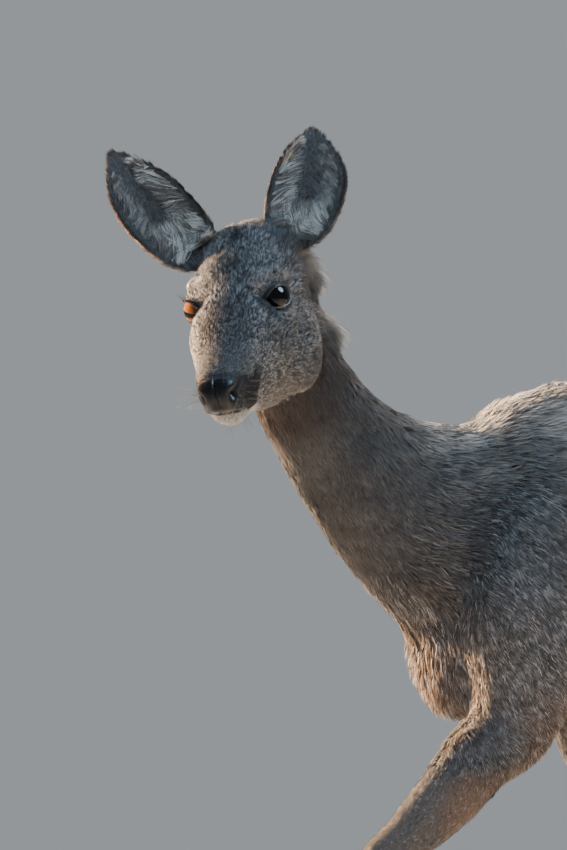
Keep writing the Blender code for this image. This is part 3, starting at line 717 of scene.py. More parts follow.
@dataclass
class Skin:
    """One skin over all the flesh, inside the solids by the depth of the coat."""

    body: Anatomy
    voxel: float = 0.0023
    grow: float = 0.0005             # closes the thin cuts between the solids
    keep: float = 0.245               # share of triangles kept away from the head
    thing: bpy.types.Object = None
    fields: dict = field(default_factory=dict)

    SMOOTHING = ((12, 0.5), (4, 0.5), (2, 0.4))      # rounds and share: body, head, ears
    FINE_NOSE = (0.089, 0.106)       # how far ahead the first and second finer steps begin
    FINE_EYES = (0.0255, 0.0190)     # and how far round each eye they reach
    EYE_SHRINK = -0.0004             # keeps the eyeballs' cast inside their lids
    WELD = 1e-6
    NOSTRIL = (0.0146, -0.0190)      # out from the middle of the head, and up
    SLIT = (0.0180, -0.0150)         # the same, of the nostril's outer slit
    SINK = 0.0030                    # how far behind the eyeball's surface its socket lies
    TIP = 0.1205                     # how far ahead the bare end of the nose begins

    def flesh(self) -> list[str]:
        """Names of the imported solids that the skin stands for."""
        hard = ("eye", "hoof", "dewclaw")
        return [name for name in FRAME["nodes"] if not name.endswith(hard)]

    def cast(self) -> bpy.types.Mesh:
        """Join the flesh, grown a little, with the eyeballs and melt it into one surface."""
        whole = bmesh.new()
        for name in FRAME["nodes"]:
            if name.endswith(("hoof", "dewclaw")):
                continue
            piece = bmesh.new()
            piece.from_mesh(FRAME["nodes"][name].data)
            bmesh.ops.remove_doubles(piece, verts=piece.verts, dist=self.WELD)
            piece.normal_update()
            grow = self.EYE_SHRINK if name.endswith("eye") else self.grow
            for vert in piece.verts:
                vert.co += vert.normal * grow
            part = bpy.data.meshes.new("part")
            piece.to_mesh(part)
            piece.free()
            whole.from_mesh(part)
            bpy.data.meshes.remove(part)
        mesh = bpy.data.meshes.new("flesh")
        whole.to_mesh(mesh)
        whole.free()
        thing = placed("flesh", mesh)
        remesh = thing.modifiers.new("melt", "REMESH")
        remesh.mode = "VOXEL"
        remesh.voxel_size = self.voxel
        cast = evaluated(thing)
        bpy.data.objects.remove(thing)
        return cast

    def head_share(self, points: Array) -> Array:
        """1 over the head and ears, fading to 0 along the top of the neck."""
        place = self.body.head.to_head(points)
        reach = size_of(place - (0.0, 0.0, -0.02))
        ears = [smooth(1.15, 1.0, ear.local(points)[0]) * smooth(-0.2, 0.1, ear.local(points)[0])
                * smooth(0.055, 0.035, ear.away(points))
                for ear in self.body.ears.values()]
        return np.maximum(smooth(0.150, 0.115, reach), np.maximum(*ears))

    def ear_share(self, points: Array) -> Array:
        """1 on the free leaves of the ears."""
        found = np.zeros(len(points))
        for ear in self.body.ears.values():
            share, _, _ = ear.local(points)
            found = np.maximum(found, smooth(0.14, 0.24, share)
                               * smooth(0.056, 0.046, ear.away(points)) * smooth(1.2, 1.1, share))
        return found

    def build(self, finish: bpy.types.Material) -> bpy.types.Object:
        """Work the skin out and put it in the scene.

        Args:
            finish: the skin's material.

        Returns:
            The skin's object.
        """
        mesh = self.cast()
        points = vertex_places(mesh)
        graph = Neighbours(mesh)
        head = self.head_share(points)
        ears = self.ear_share(points)
        LOG.info("cast of the flesh: %d vertices", len(points))
        body, face, leaf = (graph.average(points, rounds, share) for rounds, share in self.SMOOTHING)
        points = body + (face - body) * head[:, None]
        points = points + (leaf - points) * ears[:, None]
        move_vertices(mesh, points)
        depth = self.coat_field(points, "depth")
        depth = depth * (1 - self.nose_share(points))
        depth = graph.average(depth[:, None], 12)[:, 0]
        normals = graph.average(vertex_normals(mesh), 3)
        points = points - unit(normals) * depth[:, None]
        move_vertices(mesh, points)
        mesh = self.thin(mesh, self.head_share(points))
        mesh = self.refine(mesh)
        self.sculpt(mesh)
        mesh.name = "skin"
        mesh.shade_smooth()
        mesh.materials.clear()
        mesh.materials.append(finish)
        self.thing = placed("skin", mesh)
        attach(self.thing, "root")
        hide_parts(*self.flesh())
        self.read_fields()
        return self.thing

    def coat_field(self, points: Array, name: str) -> Array:
        """One size of the coat blended between the guides at each place."""
        sizes = np.array([getattr(guide.coat, name) for guide in self.body.guides])
        return self.body.weights(points) @ sizes

    def nose_share(self, points: Array) -> Array:
        """1 on the bare end of the nose, 0 where hair grows."""
        place = self.body.head.to_head(points)
        out = np.abs(place[:, 1])
        back = self.TIP - 0.002 * smooth(-0.012, -0.03, place[:, 2])
        top = smooth(-0.0012, 0.0012, place[:, 0] - back)
        bottom = smooth(-0.0338, -0.0322, place[:, 2])
        half = 0.0158 - 0.0080 * smooth(-0.021, -0.034, place[:, 2])
        return top * bottom * smooth(half + 0.0008, half - 0.0008, out)

    def thin(self, mesh: bpy.types.Mesh, head: Array) -> bpy.types.Mesh:
        """Fewer triangles where the coat is long, all of them kept on the head."""
        thing = placed("thinning", mesh)
        group = thing.vertex_groups.new(name="long_coat")
        bare = np.flatnonzero(head < 0.5)
        group.add(bare.tolist(), 1.0, "REPLACE")
        decimate = thing.modifiers.new("thin", "DECIMATE")
        decimate.ratio = self.keep
        decimate.vertex_group = group.name
        decimate.vertex_group_factor = 10.0
        thinned = evaluated(thing)
        bpy.data.objects.remove(thing)
        LOG.info("skin thinned to %d faces", len(thinned.polygons))
        return thinned

    def refine(self, mesh: bpy.types.Mesh) -> bpy.types.Mesh:
        """Split the faces round the eyes, the nose and the mouth into smaller ones."""
        for rounds in range(len(self.FINE_NOSE)):
            fine = bmesh.new()
            fine.from_mesh(mesh)
            points = vertex_places(mesh)
            chosen = self.fine_share(points, rounds) > 0.5
            edges = [edge for edge in fine.edges
                     if chosen[edge.verts[0].index] and chosen[edge.verts[1].index]]
            bmesh.ops.subdivide_edges(fine, edges=edges, cuts=1, use_grid_fill=True)
            bmesh.ops.triangulate(fine, faces=fine.faces)
            fine.to_mesh(mesh)
            fine.free()
        points = vertex_places(mesh)
        share = self.fine_share(points, 1)
        points = Neighbours(mesh).average(points, 6, 0.5 * share)
        move_vertices(mesh, points)
        return mesh

    def fine_share(self, points: Array, rounds: int) -> Array:
        """1 where the face needs small triangles: wider in the first round than the second."""
        place = self.body.head.to_head(points)
        start, ring = self.FINE_NOSE[rounds], self.FINE_EYES[rounds]
        nose = smooth(start - 0.001, start + 0.001, place[:, 0])
        nose = nose * smooth(0.160, 0.155, size_of(place))
        eyes = [smooth(ring + 0.001, ring - 0.001, size_of(points - eye.centre))
                for eye in self.body.eyes.values()]
        return np.maximum(nose, np.maximum(*eyes))

    def sculpt(self, mesh: bpy.types.Mesh) -> None:
        """Press the face's hollows and folds into the skin."""
        points = vertex_places(mesh)
        normals = vertex_normals(mesh)
        head = self.body.head.to_head(points)
        folds = sum(fold.height * fold.nearness(head) for fold in FOLDS)
        points = points + normals * (self.nose_form(points) + folds)[:, None]
        for eye in self.body.eyes.values():
            points = self.set_round_eye(points, eye)
        move_vertices(mesh, points)

    def nose_form(self, points: Array) -> Array:
        """Height of the nose and mouth over the plain muzzle.

        A sum of bells: a groove down the middle of the nose and upper lip, a comma-shaped pit
        on each side for the nostril with a raised wing over it, and the line of the mouth.
        """
        place = self.body.head.to_head(points)
        ahead, out, up = place[:, 0], np.abs(place[:, 1]), place[:, 2]
        front = smooth(0.100, 0.112, ahead)
        groove = -0.0013 * bell(out, 0.0011) * smooth(0.114, 0.120, ahead) * smooth(-0.037, -0.033, up)
        pit_out, pit_up = out - self.NOSTRIL[0], up - self.NOSTRIL[1]
        pit_x = (pit_out - 0.10 * pit_up) / 0.0028
        pit_z = (pit_up + 0.35 * pit_out) / 0.0050
        pit = -0.0052 * np.exp(-(pit_x ** 2 + pit_z ** 2)) * front
        slit_out, slit_up = out - self.SLIT[0], up - self.SLIT[1]
        slit_z = (slit_up - 0.9 * slit_out) / 0.0022
        slit_x = slit_out / 0.0036
        slit = -0.0030 * np.exp(-(slit_x ** 2 + slit_z ** 2)) * front
        wing = 0.0014 * bell(out - 0.0140, 0.0060) * bell(up + 0.0100, 0.0045) * front
        pad = 0.0010 * bell(out - 0.0060, 0.0045) * bell(up + 0.020, 0.010) * front
        mouth_line = self.mouth_height(ahead)
        mouth = -0.0018 * bell(up - mouth_line, 0.0011) * smooth(0.096, 0.103, ahead)
        lip = 0.0009 * bell(up - mouth_line - 0.0045, 0.0030) * smooth(0.084, 0.094, ahead)
        on_head = smooth(0.160, 0.155, size_of(place))
        return (groove + pit + slit + wing + pad + mouth + lip) * on_head

    @staticmethod
    def mouth_height(ahead: Array) -> Array:
        """Level of the mouth's line along the muzzle: it drops gently towards its corner."""
        return -0.0337 - 0.50 * (0.1285 - ahead)

    def set_round_eye(self, points: Array, eye: EyeFrame) -> Array:
        """Draw the skin in round one eyeball.

        Inside the lids' opening it sinks behind the eyeball's surface; round the opening it
        lies on the eyeball, and further out it goes back to where it was.

        Args:
            points: the skin's vertices, one per row.
            eye: the eyeball's frame.

        Returns:
            The vertices in their new places.
        """
        local = eye.local(points)
        reach = size_of(local)
        near = (reach < 2.6 * eye.RADIUS) & (local[:, 2] > -0.3 * eye.RADIUS)
        some = local[near]
        ratio = LidOpening().ratio(some)
        distance = reach[near]
        inside = eye.RADIUS - self.SINK
        lying = eye.RADIUS + 0.0006 + 0.0012 * smooth(1.0, 1.5, ratio)
        target = inside + (lying - inside) * smooth(0.86, 1.04, ratio)
        back = smooth(1.25, 2.10, ratio)
        target = target + (distance - target) * back
        points = points.copy()
        points[near] = eye.to_row(some * (target / distance)[:, None])
        return points

    def read_fields(self) -> None:
        """Work out the lie of the hair and the sizes of the coat at each vertex."""
        mesh = self.thing.data
        points = vertex_places(mesh)
        normals = vertex_normals(mesh)
        weights = self.body.weights(points)
        graph = Neighbours(mesh)
        coats = np.array([[g.coat.length, g.coat.width, g.coat.lift] for g in self.body.guides])
        lies = unit(np.array([guide.lie for guide in self.body.guides]))
        values = graph.average(np.concatenate([weights @ coats, weights @ lies], axis=1), 10)
        names = self.body.zones
        share = np.stack([weights[:, [g.zone == name for g in self.body.guides]].sum(axis=1)
                          for name in names], axis=1)
        zone = np.argmax(share, axis=1)
        zone = np.where(self.ear_share(points) > 0.3, names.index("ear"), zone)
        self.fields = {"points": points, "normals": normals, "lie": flatten(values[:, 3:6], normals),
                       "length": values[:, 0], "width": values[:, 1], "lift": values[:, 2],
                       "zone": zone, "bare": self.nose_share(points)}


@dataclass(frozen=True)
class Ruff:
    """A place on the head where the hair stands out, and how it differs from the rest; its paler, warmer
    colour is painted glow of hair lit from behind.
    """

    place: tuple[float, float, float]
    spread: float
    lift: float                      # degrees steeper
    longer: float                    # as a share of its length
    # how warm its painted glow is
    warm: float

    def nearness(self, head_places: Array, wider: float = 1.0) -> Array:
        """A bell over the distance, for places given along the head's axes."""
        return bell(size_of(head_places - self.place), wider * self.spread)


RUFFS = (
    Ruff((-0.072, 0.040, -0.080), 0.014, 44.0, 1.4, 0.60),
    Ruff((-0.072, 0.046, -0.018), 0.013, 44.0, 1.9, 0.20),
    Ruff((-0.078, 0.040, -0.038), 0.012, 28.0, 0.8, 0.25),
    Ruff((-0.066, -0.041, -0.012), 0.018, 26.0, 0.7, 0.20),
)


# --------------------------------------------------------------------------------------------
# Markings


@dataclass(frozen=True)
class Markings:
    """Where the coat is pale, dark, warm or white; skin and hair both take them from here."""

    body: Anatomy

    # Where a colour of the trunk begins and where it is full, past the trunk's lowest level,
    # its highest level, or its foremost place.
    BELLY_OVER_LOWEST = (0.10, 0.02)
    BACK_UNDER_HIGHEST = (-0.12, -0.03)
    BACK_BEHIND_FRONT = (0.02, 0.13)
    BREAST_BEHIND_FRONT = (0.16, 0.02)
    BREAST_OVER_LOWEST = (0.19, 0.06)
    NECK_BEHIND_FRONT = (0.12, -0.04)
    RUMP_BEHIND_TAIL = (-0.075, -0.020)
    PATCH = 0.072                    # radius of the white patch round the tail
    PATCH_EDGE = (0.012, -0.010)
    PATCH_MIDDLE = (0.0, 0.0, -0.020)                # from the middle of the tail
    # The ridges are ruffled hair, paler partly as painted light on them.
    RIDGE = 0.026                    # size of the ridges of ruffled hair on the back
    THROAT = (-0.030, 0.0, -0.150)   # the pale spot under the throat, along the head's axes
    # The same for the legs, past the top of the fore cannon, past the floor, and behind the
    # leg's own line.
    LEG_OVER_CANNON = (0.21, 0.09)
    CORONET = (0.075, 0.035)
    LEG_BEHIND = (-0.012, 0.014)
    # The face, along the head's axes.
    BLUR = 0.0022                    # how far the edges of the face's colours waver
    BUFF_RING = 0.0205               # from the eye's middle to the pale ring round it
    WEDGE = (0.042, 0.0085, 0.017)   # dark wedge on the crown: how far back, half width and length
    UPPER_LIP_SPOT = (0.1205, 0.0118, -0.0372)
    UPPER_LIP_FORM = (0.6, 1.1, 1.7)

    def at(self, points: Array) -> Array:
        """How pale, dark, warm and white the coat is at each place, one row per place."""
        pale, dark, warm, white = self.trunk_marks(points)
        for marks in (self.leg_marks(points), self.face_marks(points), self.ear_marks(points)):
            share = marks[0]
            pale, dark, warm, white = (old + (new - old) * share
                                       for old, new in zip((pale, dark, warm, white), marks[1:]))
        return np.clip(np.stack([pale, dark, warm, white], axis=1), 0.0, 1.0)

    def trunk_marks(self, points: Array) -> list[Array]:
        """Neck, shoulders, trunk and rump: pale ridges above, warm below, a white rump. The paler top and
        ridges are partly painted light from behind and above, the darker neck is painted shade and the
        breast's strong warmth is painted sunlight.
        """
        low, high = (np.array(corner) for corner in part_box("trunk"))
        ahead, level = points[:, 0], points[:, 2]
        centre = (low[1] + high[1]) / 2
        under = fade(low[2], self.BELLY_OVER_LOWEST, level)
        top = fade(high[2], self.BACK_UNDER_HIGHEST, level) * fade(low[0], self.BACK_BEHIND_FRONT, ahead)
        ridges = smooth(0.0, 0.9, waves(points * (0.5, 1.0, 1.8), self.RIDGE, 61))
        breast = (fade(low[0], self.BREAST_BEHIND_FRONT, ahead)
                  * fade(low[2], self.BREAST_OVER_LOWEST, level))
        # Partly painted light: the top of the back and its ridges are paler, as where light from behind
        # and above falls on them.
        pale = 0.90 * top + 0.50 * ridges * (0.15 + 0.85 * top) + 0.22 * under
        # Painted sunlight: the breast's strong warmth stands for the low sun falling on it.
        warm = 0.02 + 0.40 * under + 0.85 * breast
        # Painted shade: the neck is darker below the back, as in the shadow of the head.
        neck = fade(low[0], self.NECK_BEHIND_FRONT, ahead) * (1 - breast)
        dark = 0.22 * neck * (1 - top)
        tail = middle("tail")
        away = (points - tail - self.PATCH_MIDDLE) * (0.55, 1.0, 0.80)
        rear = fade(tail[0], self.RUMP_BEHIND_TAIL, ahead)
        edge = self.PATCH + 0.006 * waves(points, 0.02, 62)
        white = fade(edge, self.PATCH_EDGE, size_of(away)) * rear
        # Partly painted light: white on the ridges along the top of the back.
        white = np.maximum(white, 0.20 * top * ridges)
        throat = self.body.head.to_head(points)
        spot = size_of((throat - self.THROAT) * (1.0, 1.1, 0.8))
        pale = np.maximum(pale, 0.30 * smooth(0.050, 0.020, spot))
        inner = smooth(0.050, 0.015, np.abs(points[:, 1] - centre)) * under
        return [pale, dark, np.clip(warm + 0.3 * inner, 0, 1), white]

    def leg_marks(self, points: Array) -> list[Array]:
        """Legs: grey in front, warmer behind and inside, dusky round the coronet."""
        _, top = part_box("left_fore_cannon")
        level = points[:, 2]
        share = fade(top[2], self.LEG_OVER_CANNON, level)
        weights = self.body.weights(points)
        lines = np.array([(guide.start + guide.end) / 2 for guide in self.body.guides])
        behind = smooth(*self.LEG_BEHIND, points[:, 0] - weights @ lines[:, 0])
        pale = 0.14 * (1 - behind) + 0.06
        warm = 0.04 + 0.36 * behind
        dark = 0.15 + 0.50 * smooth(*self.CORONET, level) + 0.10 * (1 - behind)
        return [share, pale, dark, warm, np.zeros(len(points))]

    def face_marks(self, points: Array) -> list[Array]:
        """Face: dark crown, bridge and muzzle, buff rings round the eyes, white lips and chin."""
        head = self.body.head.to_head(points)
        blur = self.BLUR * waves(points, 0.012, 63)
        ahead, left, up = head[:, 0] + blur, head[:, 1] + blur, head[:, 2] + blur
        out = np.abs(left)
        reach = size_of(head - (0.0, 0.0, -0.02))
        share = smooth(0.150, 0.105, reach) * smooth(-0.115, -0.070, ahead)
        mouth = Skin.mouth_height(ahead)
        band = smooth(0.078, 0.090, ahead + 0.4 * (up + 0.03)) * smooth(-0.016, -0.024, up)
        dark = self.face_dark(ahead, left, up, band)
        pale = (0.04 + 0.56 * smooth(0.062, 0.095, ahead) * smooth(-0.045, -0.030, up)) * (1 - band)
        warm = 0.04 + 0.16 * smooth(-0.035, -0.065, up)
        for eye in self.body.eyes.values():
            pale, dark, warm = self.round_eye(eye.local(points), pale, dark, warm)
        # Painted shade in the creases of the face, and a painted highlight along the ridge of the brow.
        for fold in FOLDS:
            dark = np.maximum(dark, 0.45 * fold.nearness(head) * (fold.height < 0))
        pale = np.maximum(pale, 0.62 * BROW.nearness(head))
        chin = smooth(mouth + 0.0006, mouth - 0.0016, up) * smooth(0.070, 0.092, ahead)
        under_jaw = smooth(-0.052, -0.070, up) * smooth(-0.04, 0.04, ahead)
        spot = size_of((np.stack([ahead, out, up], axis=1) - self.UPPER_LIP_SPOT) * self.UPPER_LIP_FORM)
        white = np.maximum(0.44 * chin, 0.75 * smooth(0.0046, 0.0028, spot))
        white = np.maximum(white, 0.05 * under_jaw)
        # Painted light: the standing tufts are paler, warmer and whiter, as hair glowing with light from
        # behind.
        for ruff in RUFFS:
            tuft = ruff.nearness(head, 1.2)
            pale = np.maximum(pale, (0.95 - 0.5 * ruff.warm) * tuft)
            warm = np.maximum(warm, ruff.warm * tuft)
            dark = dark * (1 - 0.8 * tuft)
            white = np.maximum(white, 0.20 * tuft)
        dark = dark * (1 - np.clip(white * 1.2, 0, 1))
        lips = bell(up - mouth, 0.0009) * smooth(0.094, 0.102, ahead)
        return [share, pale, np.maximum(dark, 0.9 * lips), warm, white * (1 - 0.9 * lips)]

    def face_dark(self, ahead: Array, left: Array, up: Array, band: Array) -> Array:
        """How dark the face is: crown, forehead, bridge, nose, muzzle, jaw and cheeks; the jaw's darkness
        is painted shade.

        Args:
            ahead: places along the head's first axis.
            left: the same along its second.
            up: the same along its third.
            band: 1 on the dark band across the muzzle.

        Returns:
            One value per place.
        """
        out = np.abs(left)
        top = smooth(-0.045, -0.015, up)
        back, narrow, long = self.WEDGE
        wedge = bell(left, narrow) * bell(ahead + back, long) * smooth(0.0, 0.02, up)
        forehead = bell(left, 0.028) * smooth(-0.040, 0.000, ahead) * smooth(0.035, 0.0, ahead) * top
        bridge = smooth(0.024, 0.009, out - 0.10 * ahead) * smooth(0.010, 0.050, ahead) * top
        nose = smooth(0.1125, 0.1165, ahead + 0.65 * smooth(-0.004, -0.018, up) * out)
        mouth = Skin.mouth_height(ahead)
        lip_end = smooth(mouth - 0.0005, mouth + 0.0010, up)
        # Painted shade: the face darker towards the bottom of the jaw.
        jaw = smooth(-0.040, -0.080, up)
        cheek = smooth(0.026, 0.042, out) * smooth(0.075, 0.045, ahead)
        return np.maximum.reduce([0.95 * wedge, 0.55 * forehead, 0.60 * bridge, nose * lip_end,
                                  0.98 * band * lip_end, 0.60 * jaw, 0.30 * cheek])

    def round_eye(self, local: Array, pale: Array, dark: Array, warm: Array) -> tuple[Array, ...]:
        """Add one eye's buff ring, dark rim and dark corner to the marks of the face.

        Args:
            local: places along the eye's axes.
            pale: how pale the face is there.
            dark: how dark it is.
            warm: how warm it is.

        Returns:
            The last three with the eye's marks.
        """
        reach = size_of(local)
        ratio = LidOpening().ratio(local)
        near = smooth(0.034, 0.026, reach)
        ring = bell(reach - self.BUFF_RING, 0.0050)
        above = 0.55 + 0.45 * smooth(-0.004, 0.006, local[:, 1])
        rim = smooth(1.38, 1.20, ratio) * near
        duct = (bell(local[:, 1] + 0.30 * local[:, 0] + 0.0075, 0.0026) * near
                * smooth(-0.008, -0.012, local[:, 0]) * smooth(-0.024, -0.016, local[:, 0]))
        dark = dark * (1 - 0.85 * ring * above * near)
        return (np.maximum(pale, 0.85 * ring * above),
                np.maximum(dark, np.maximum(0.95 * rim, 0.85 * duct)),
                np.maximum(warm, 0.30 * ring))

    def ear_marks(self, points: Array) -> list[Array]:
        """Ears: black-brown rims, brown backs, pale inside."""
        cover = np.zeros(len(points))
        found = [np.zeros(len(points)) for _ in range(4)]
        for ear in self.body.ears.values():
            share, across, _ = ear.local(points)
            on_ear = (smooth(0.10, 0.22, share) * smooth(1.25, 1.12, share)
                      * smooth(0.062, 0.050, ear.away(points)) * smooth(1.45, 1.15, np.abs(across)))
            front = ear.in_front(points)
            rim = np.maximum(smooth(0.84, 0.96, np.abs(across)), smooth(0.93, 0.985, share))
            rim = rim * smooth(0.12, 0.30, share)
            back = 1 - front
            pale = 0.22 * back + 0.30 * front
            dark = np.maximum(0.90 * rim * front, 0.12 * back + 0.38 * front)
            warm = 0.80 * back + (0.10 + 0.45 * rim) * front
            cover = cover + on_ear
            found = [old + new * on_ear for old, new in zip(found, (pale, dark, warm, 0.0))]
        share = np.clip(cover, 1e-6, 1.0)
        return [np.clip(cover, 0, 1)] + [value / share for value in found]


# --------------------------------------------------------------------------------------------
# Coat


@dataclass(frozen=True)
class Part:
    """One piece of the coat: where it grows and what its tufts are like."""

    name: str
    zone: str
    tufts: int                       # how many are drawn
    side: Side | None = None         # None grows both sides
    bends: int = 1                   # quads below the tip; 0 makes each tuft a single triangle
    lock: float = 0.007              # size of the cells whose tips are drawn together
    gather: float = 0.35             # how far they are drawn together
    stray: float = 0.16              # random turn of each tuft, as a share of its direction
    fuller: float = 1.0              # width of the tufts against the coat's own
    grain: float = 0.55              # how strongly the shade changes from cell to cell


def pair(zone: str, counts: tuple[int, int], **form: float) -> list[Part]:
    """The left and the right piece of one part of the coat.

    Args:
        zone: where both grow.
        counts: how many tufts the left and the right piece have.
        form: what their tufts are like.

    Returns:
        The two pieces.
    """
    return [Part(f"coat_{zone}_{side.word}", zone, count, side, **form)
            for side, count in zip(Side, counts)]


PARTS = (
    *pair("face", (44000, 30000), bends=0, lock=0.0019, gather=0.30, stray=0.15, fuller=1.1, grain=1.0),
    Part("coat_crown", "crown", 60000,
         bends=0, lock=0.0021, gather=0.30, stray=0.16, fuller=1.1, grain=1.0),
    *pair("cheeks", (60000, 30000), bends=0, lock=0.0023, gather=0.32, stray=0.13, fuller=1.1, grain=0.9),
    Part("coat_ears", "ear", 62000, bends=0, lock=0.0040, gather=0.15, stray=0.20),
    *pair("neck", (62000, 38000), lock=0.0080, gather=0.34, stray=0.20, grain=0.38),
    *pair("shoulders", (62000, 36000), lock=0.0060, gather=0.30, stray=0.20, fuller=0.9, grain=0.62),
    *pair("trunk", (56000, 38000), lock=0.0090, gather=0.36, stray=0.18, grain=0.45),
    Part("coat_haunches", "haunches", 46000, lock=0.0080, stray=0.16, grain=0.5),
    Part("coat_rump", "rump", 20000, lock=0.0100, stray=0.18),
    Part("coat_forelegs", "forelegs", 52000, bends=0, lock=0.0045, gather=0.20, stray=0.16, grain=0.6),
    Part("coat_hindlegs", "hindlegs", 52000, bends=0, lock=0.0045, gather=0.20, stray=0.16, grain=0.6),
)


@dataclass
class CoatGrower:
    """Grows tufts from the skin: thin tapered ribbons, bent over along the lie of the hair."""

    body: Anatomy
    skin: Skin
    markings: Markings
    triangles: Array = None
    areas: Array = None

    PATCH = 0.003                    # size of a tuft's patch on the bake map
    # The right ear's higher number is painted sunlight: its lining is made paler than the left's.
    LINING = {Side.LEFT: 1.15, Side.RIGHT: 1.40}     # how pale the ears' long hair is
    LINING_TUFTS = 7600              # in each ear
    LINING_WIDTH = 0.00055
    LINING_SHARE = (0.08, 0.86)      # where it grows along the ear
    LINING_ACROSS = 0.84             # and how far out towards the edges
    LINING_REACH = 0.056             # the same in metres, from the ear's long axis
    EYE_REACH = 0.026                # how far round an eyeball the hair is turned away from it
    EYE_BARE = 1.20                  # no hair nearer, against the lids' opening
    LENGTHS = (0.65, 1.15)           # spread of the tufts' lengths round the coat's own
    LIFTS = (0.55, 1.45)             # the same of their lift
    WIDTHS = (0.75, 1.25)            # the same of their width
    ROLL = 22                        # degrees by which they turn about themselves
    GRAIN = 0.0012                   # size of the cells that share one shade
    SUNK = 0.0006                    # how deep a tuft's root sits in the skin
    CELL_PRIMES = (73856093, 19349663, 83492791)     # turn a cell's three numbers into one
    # By a tuft's number of corners: their places along it, its triangles, and where the corners
    # lie in its patch of the bake map.
    ALONG = {3: (0.0, 0.0, 1.0), 5: (0.0, 0.0, 0.5, 0.5, 1.0)}
    FACES = {3: ((0, 1, 2),), 5: ((0, 1, 3), (0, 3, 2), (2, 3, 4))}
    ON_MAP = {3: ((-1, -1), (1, -1), (0, 1)), 5: ((-1, -1), (1, -1), (-1, 0), (1, 0), (0, 1))}

    def prepare(self) -> None:
        """Read the skin's triangles and their areas."""
        mesh = self.skin.thing.data
        mesh.calc_loop_triangles()
        corners = np.empty(len(mesh.loop_triangles) * 3, dtype=np.int32)
        mesh.loop_triangles.foreach_get("vertices", corners)
        self.triangles = corners.reshape(-1, 3)
        a, b, c = (self.skin.fields["points"][self.triangles[:, k]] for k in range(3))
        self.areas = size_of(np.cross(b - a, c - a)) / 2

    def chosen(self, part: Part) -> Array:
        """Weight of each skin triangle for one piece of the coat."""
        fields = self.skin.fields
        first = self.triangles[:, 0]
        places = fields["points"][self.triangles].mean(axis=1)
        weight = (fields["zone"][first] == self.body.zones.index(part.zone)).astype(float)
        if part.side is not None:
            if part.zone in ("face", "cheeks"):
                turned = -self.body.head.to_head(places)[:, 1]
            else:
                turned = places[:, 1] - middle("trunk")[1]
            weight = weight * (turned * part.side.value > 0)
        cover = fields["length"] * fields["width"]
        weight = weight * self.areas / cover[first]
        return weight * (fields["bare"][first] < 0.5)

    def blended(self, name: str, picked: Array, shares: Array) -> Array:
        """A field of the skin at places inside its triangles.

        Args:
            name: which field.
            picked: the triangle of each place.
            shares: how much each of its three corners counts.

        Returns:
            The field, one row per place.
        """
        return np.einsum("ij,ij...->i...", shares, self.skin.fields[name][self.triangles[picked]])

    def roots(self, part: Part, draw: np.random.Generator) -> dict:
        """Draw the tufts' roots over the skin and read the fields there."""
        weight = self.chosen(part)
        picked = draw.choice(len(weight), part.tufts, p=weight / weight.sum())
        first, second = draw.random((2, part.tufts))
        flip = first + second > 1
        first, second = np.where(flip, 1 - first, first), np.where(flip, 1 - second, second)
        shares = np.stack([1 - first - second, first, second], axis=1)
        found = {name: self.blended(name, picked, shares)
                 for name in ("points", "normals", "lie", "length", "width", "lift")}
        found["normals"] = unit(found["normals"])
        found["lie"] = flatten(found["lie"], found["normals"])
        return found

    def shaped(self, found: dict) -> dict:
        """Shorten the hair round the eyes and on the muzzle, and let the nape tuft stand out."""
        points = found["points"]
        keep = np.ones(len(points), dtype=bool)
        for eye in self.body.eyes.values():
            local = eye.local(points)
            near = (size_of(local) < self.EYE_REACH) & (local[:, 2] > -0.002)
            ratio = np.where(near, LidOpening().ratio(local), 9.0)
            keep &= ratio > self.EYE_BARE
            found["length"] = found["length"] * (0.50 + 0.50 * smooth(self.EYE_BARE, 2.2, ratio))
            out = flatten(local @ np.diag([1.0, 1.0, 0.0]) @ eye.axes.T, found["normals"])
            turn = (0.85 * smooth(2.0, self.EYE_BARE, ratio))[:, None]
            found["lie"] = flatten(found["lie"] * (1 - turn) + out * turn, found["normals"])
        head = self.body.head.to_head(points)
        muzzle = smooth(0.060, 0.105, head[:, 0])
        found["length"] = found["length"] * (1 - 0.40 * muzzle)
        found["width"] = found["width"] * (1 - 0.15 * muzzle)
        for ruff in RUFFS:
            near = ruff.nearness(head)
            found["lift"] = found["lift"] + ruff.lift * near
            found["width"] = found["width"] * (1 - 0.35 * near)
            found["length"] = found["length"] * (1 + ruff.longer * near)
        for ear in self.body.ears.values():
            base = bell(size_of(points - ear.root - ear.along * 0.012), 0.024)
            found["length"] = found["length"] * (1 + 0.9 * base)
            found["lift"] = found["lift"] + 18.0 * base
        rough = smooth(0.4, 1.4, waves(points, 0.045, 71))
        found["lift"] = found["lift"] * (1 + 0.45 * rough)
        return {name: values[keep] for name, values in found.items()}

    def locks(self, part: Part, points: Array, tips: Array) -> tuple[Array, Array]:
        """Gather the tips into locks.

        Roots are sorted into cells of a wavy grid; every tip moves part of the way to the
        mean tip of its cell.

        Args:
            part: the piece of the coat.
            points: where the tufts are rooted.
            tips: where they end.

        Returns:
            The gathered tips, and a random number per tuft that is the same within a lock.
        """
        wavy = points + np.stack([waves(points, 4 * part.lock, 80 + k) for k in range(3)],
                                 axis=1) * part.lock * 0.45
        cells = np.floor(wavy / part.lock).astype(np.int64)
        _, cell = np.unique(cells @ np.array(self.CELL_PRIMES), return_inverse=True)
        count = np.bincount(cell)
        mean = np.stack([np.bincount(cell, tips[:, k]) / count for k in range(3)], axis=1)
        value = np.random.default_rng(5).random(len(count))
        return tips + (mean[cell] - tips) * part.gather, value[cell]

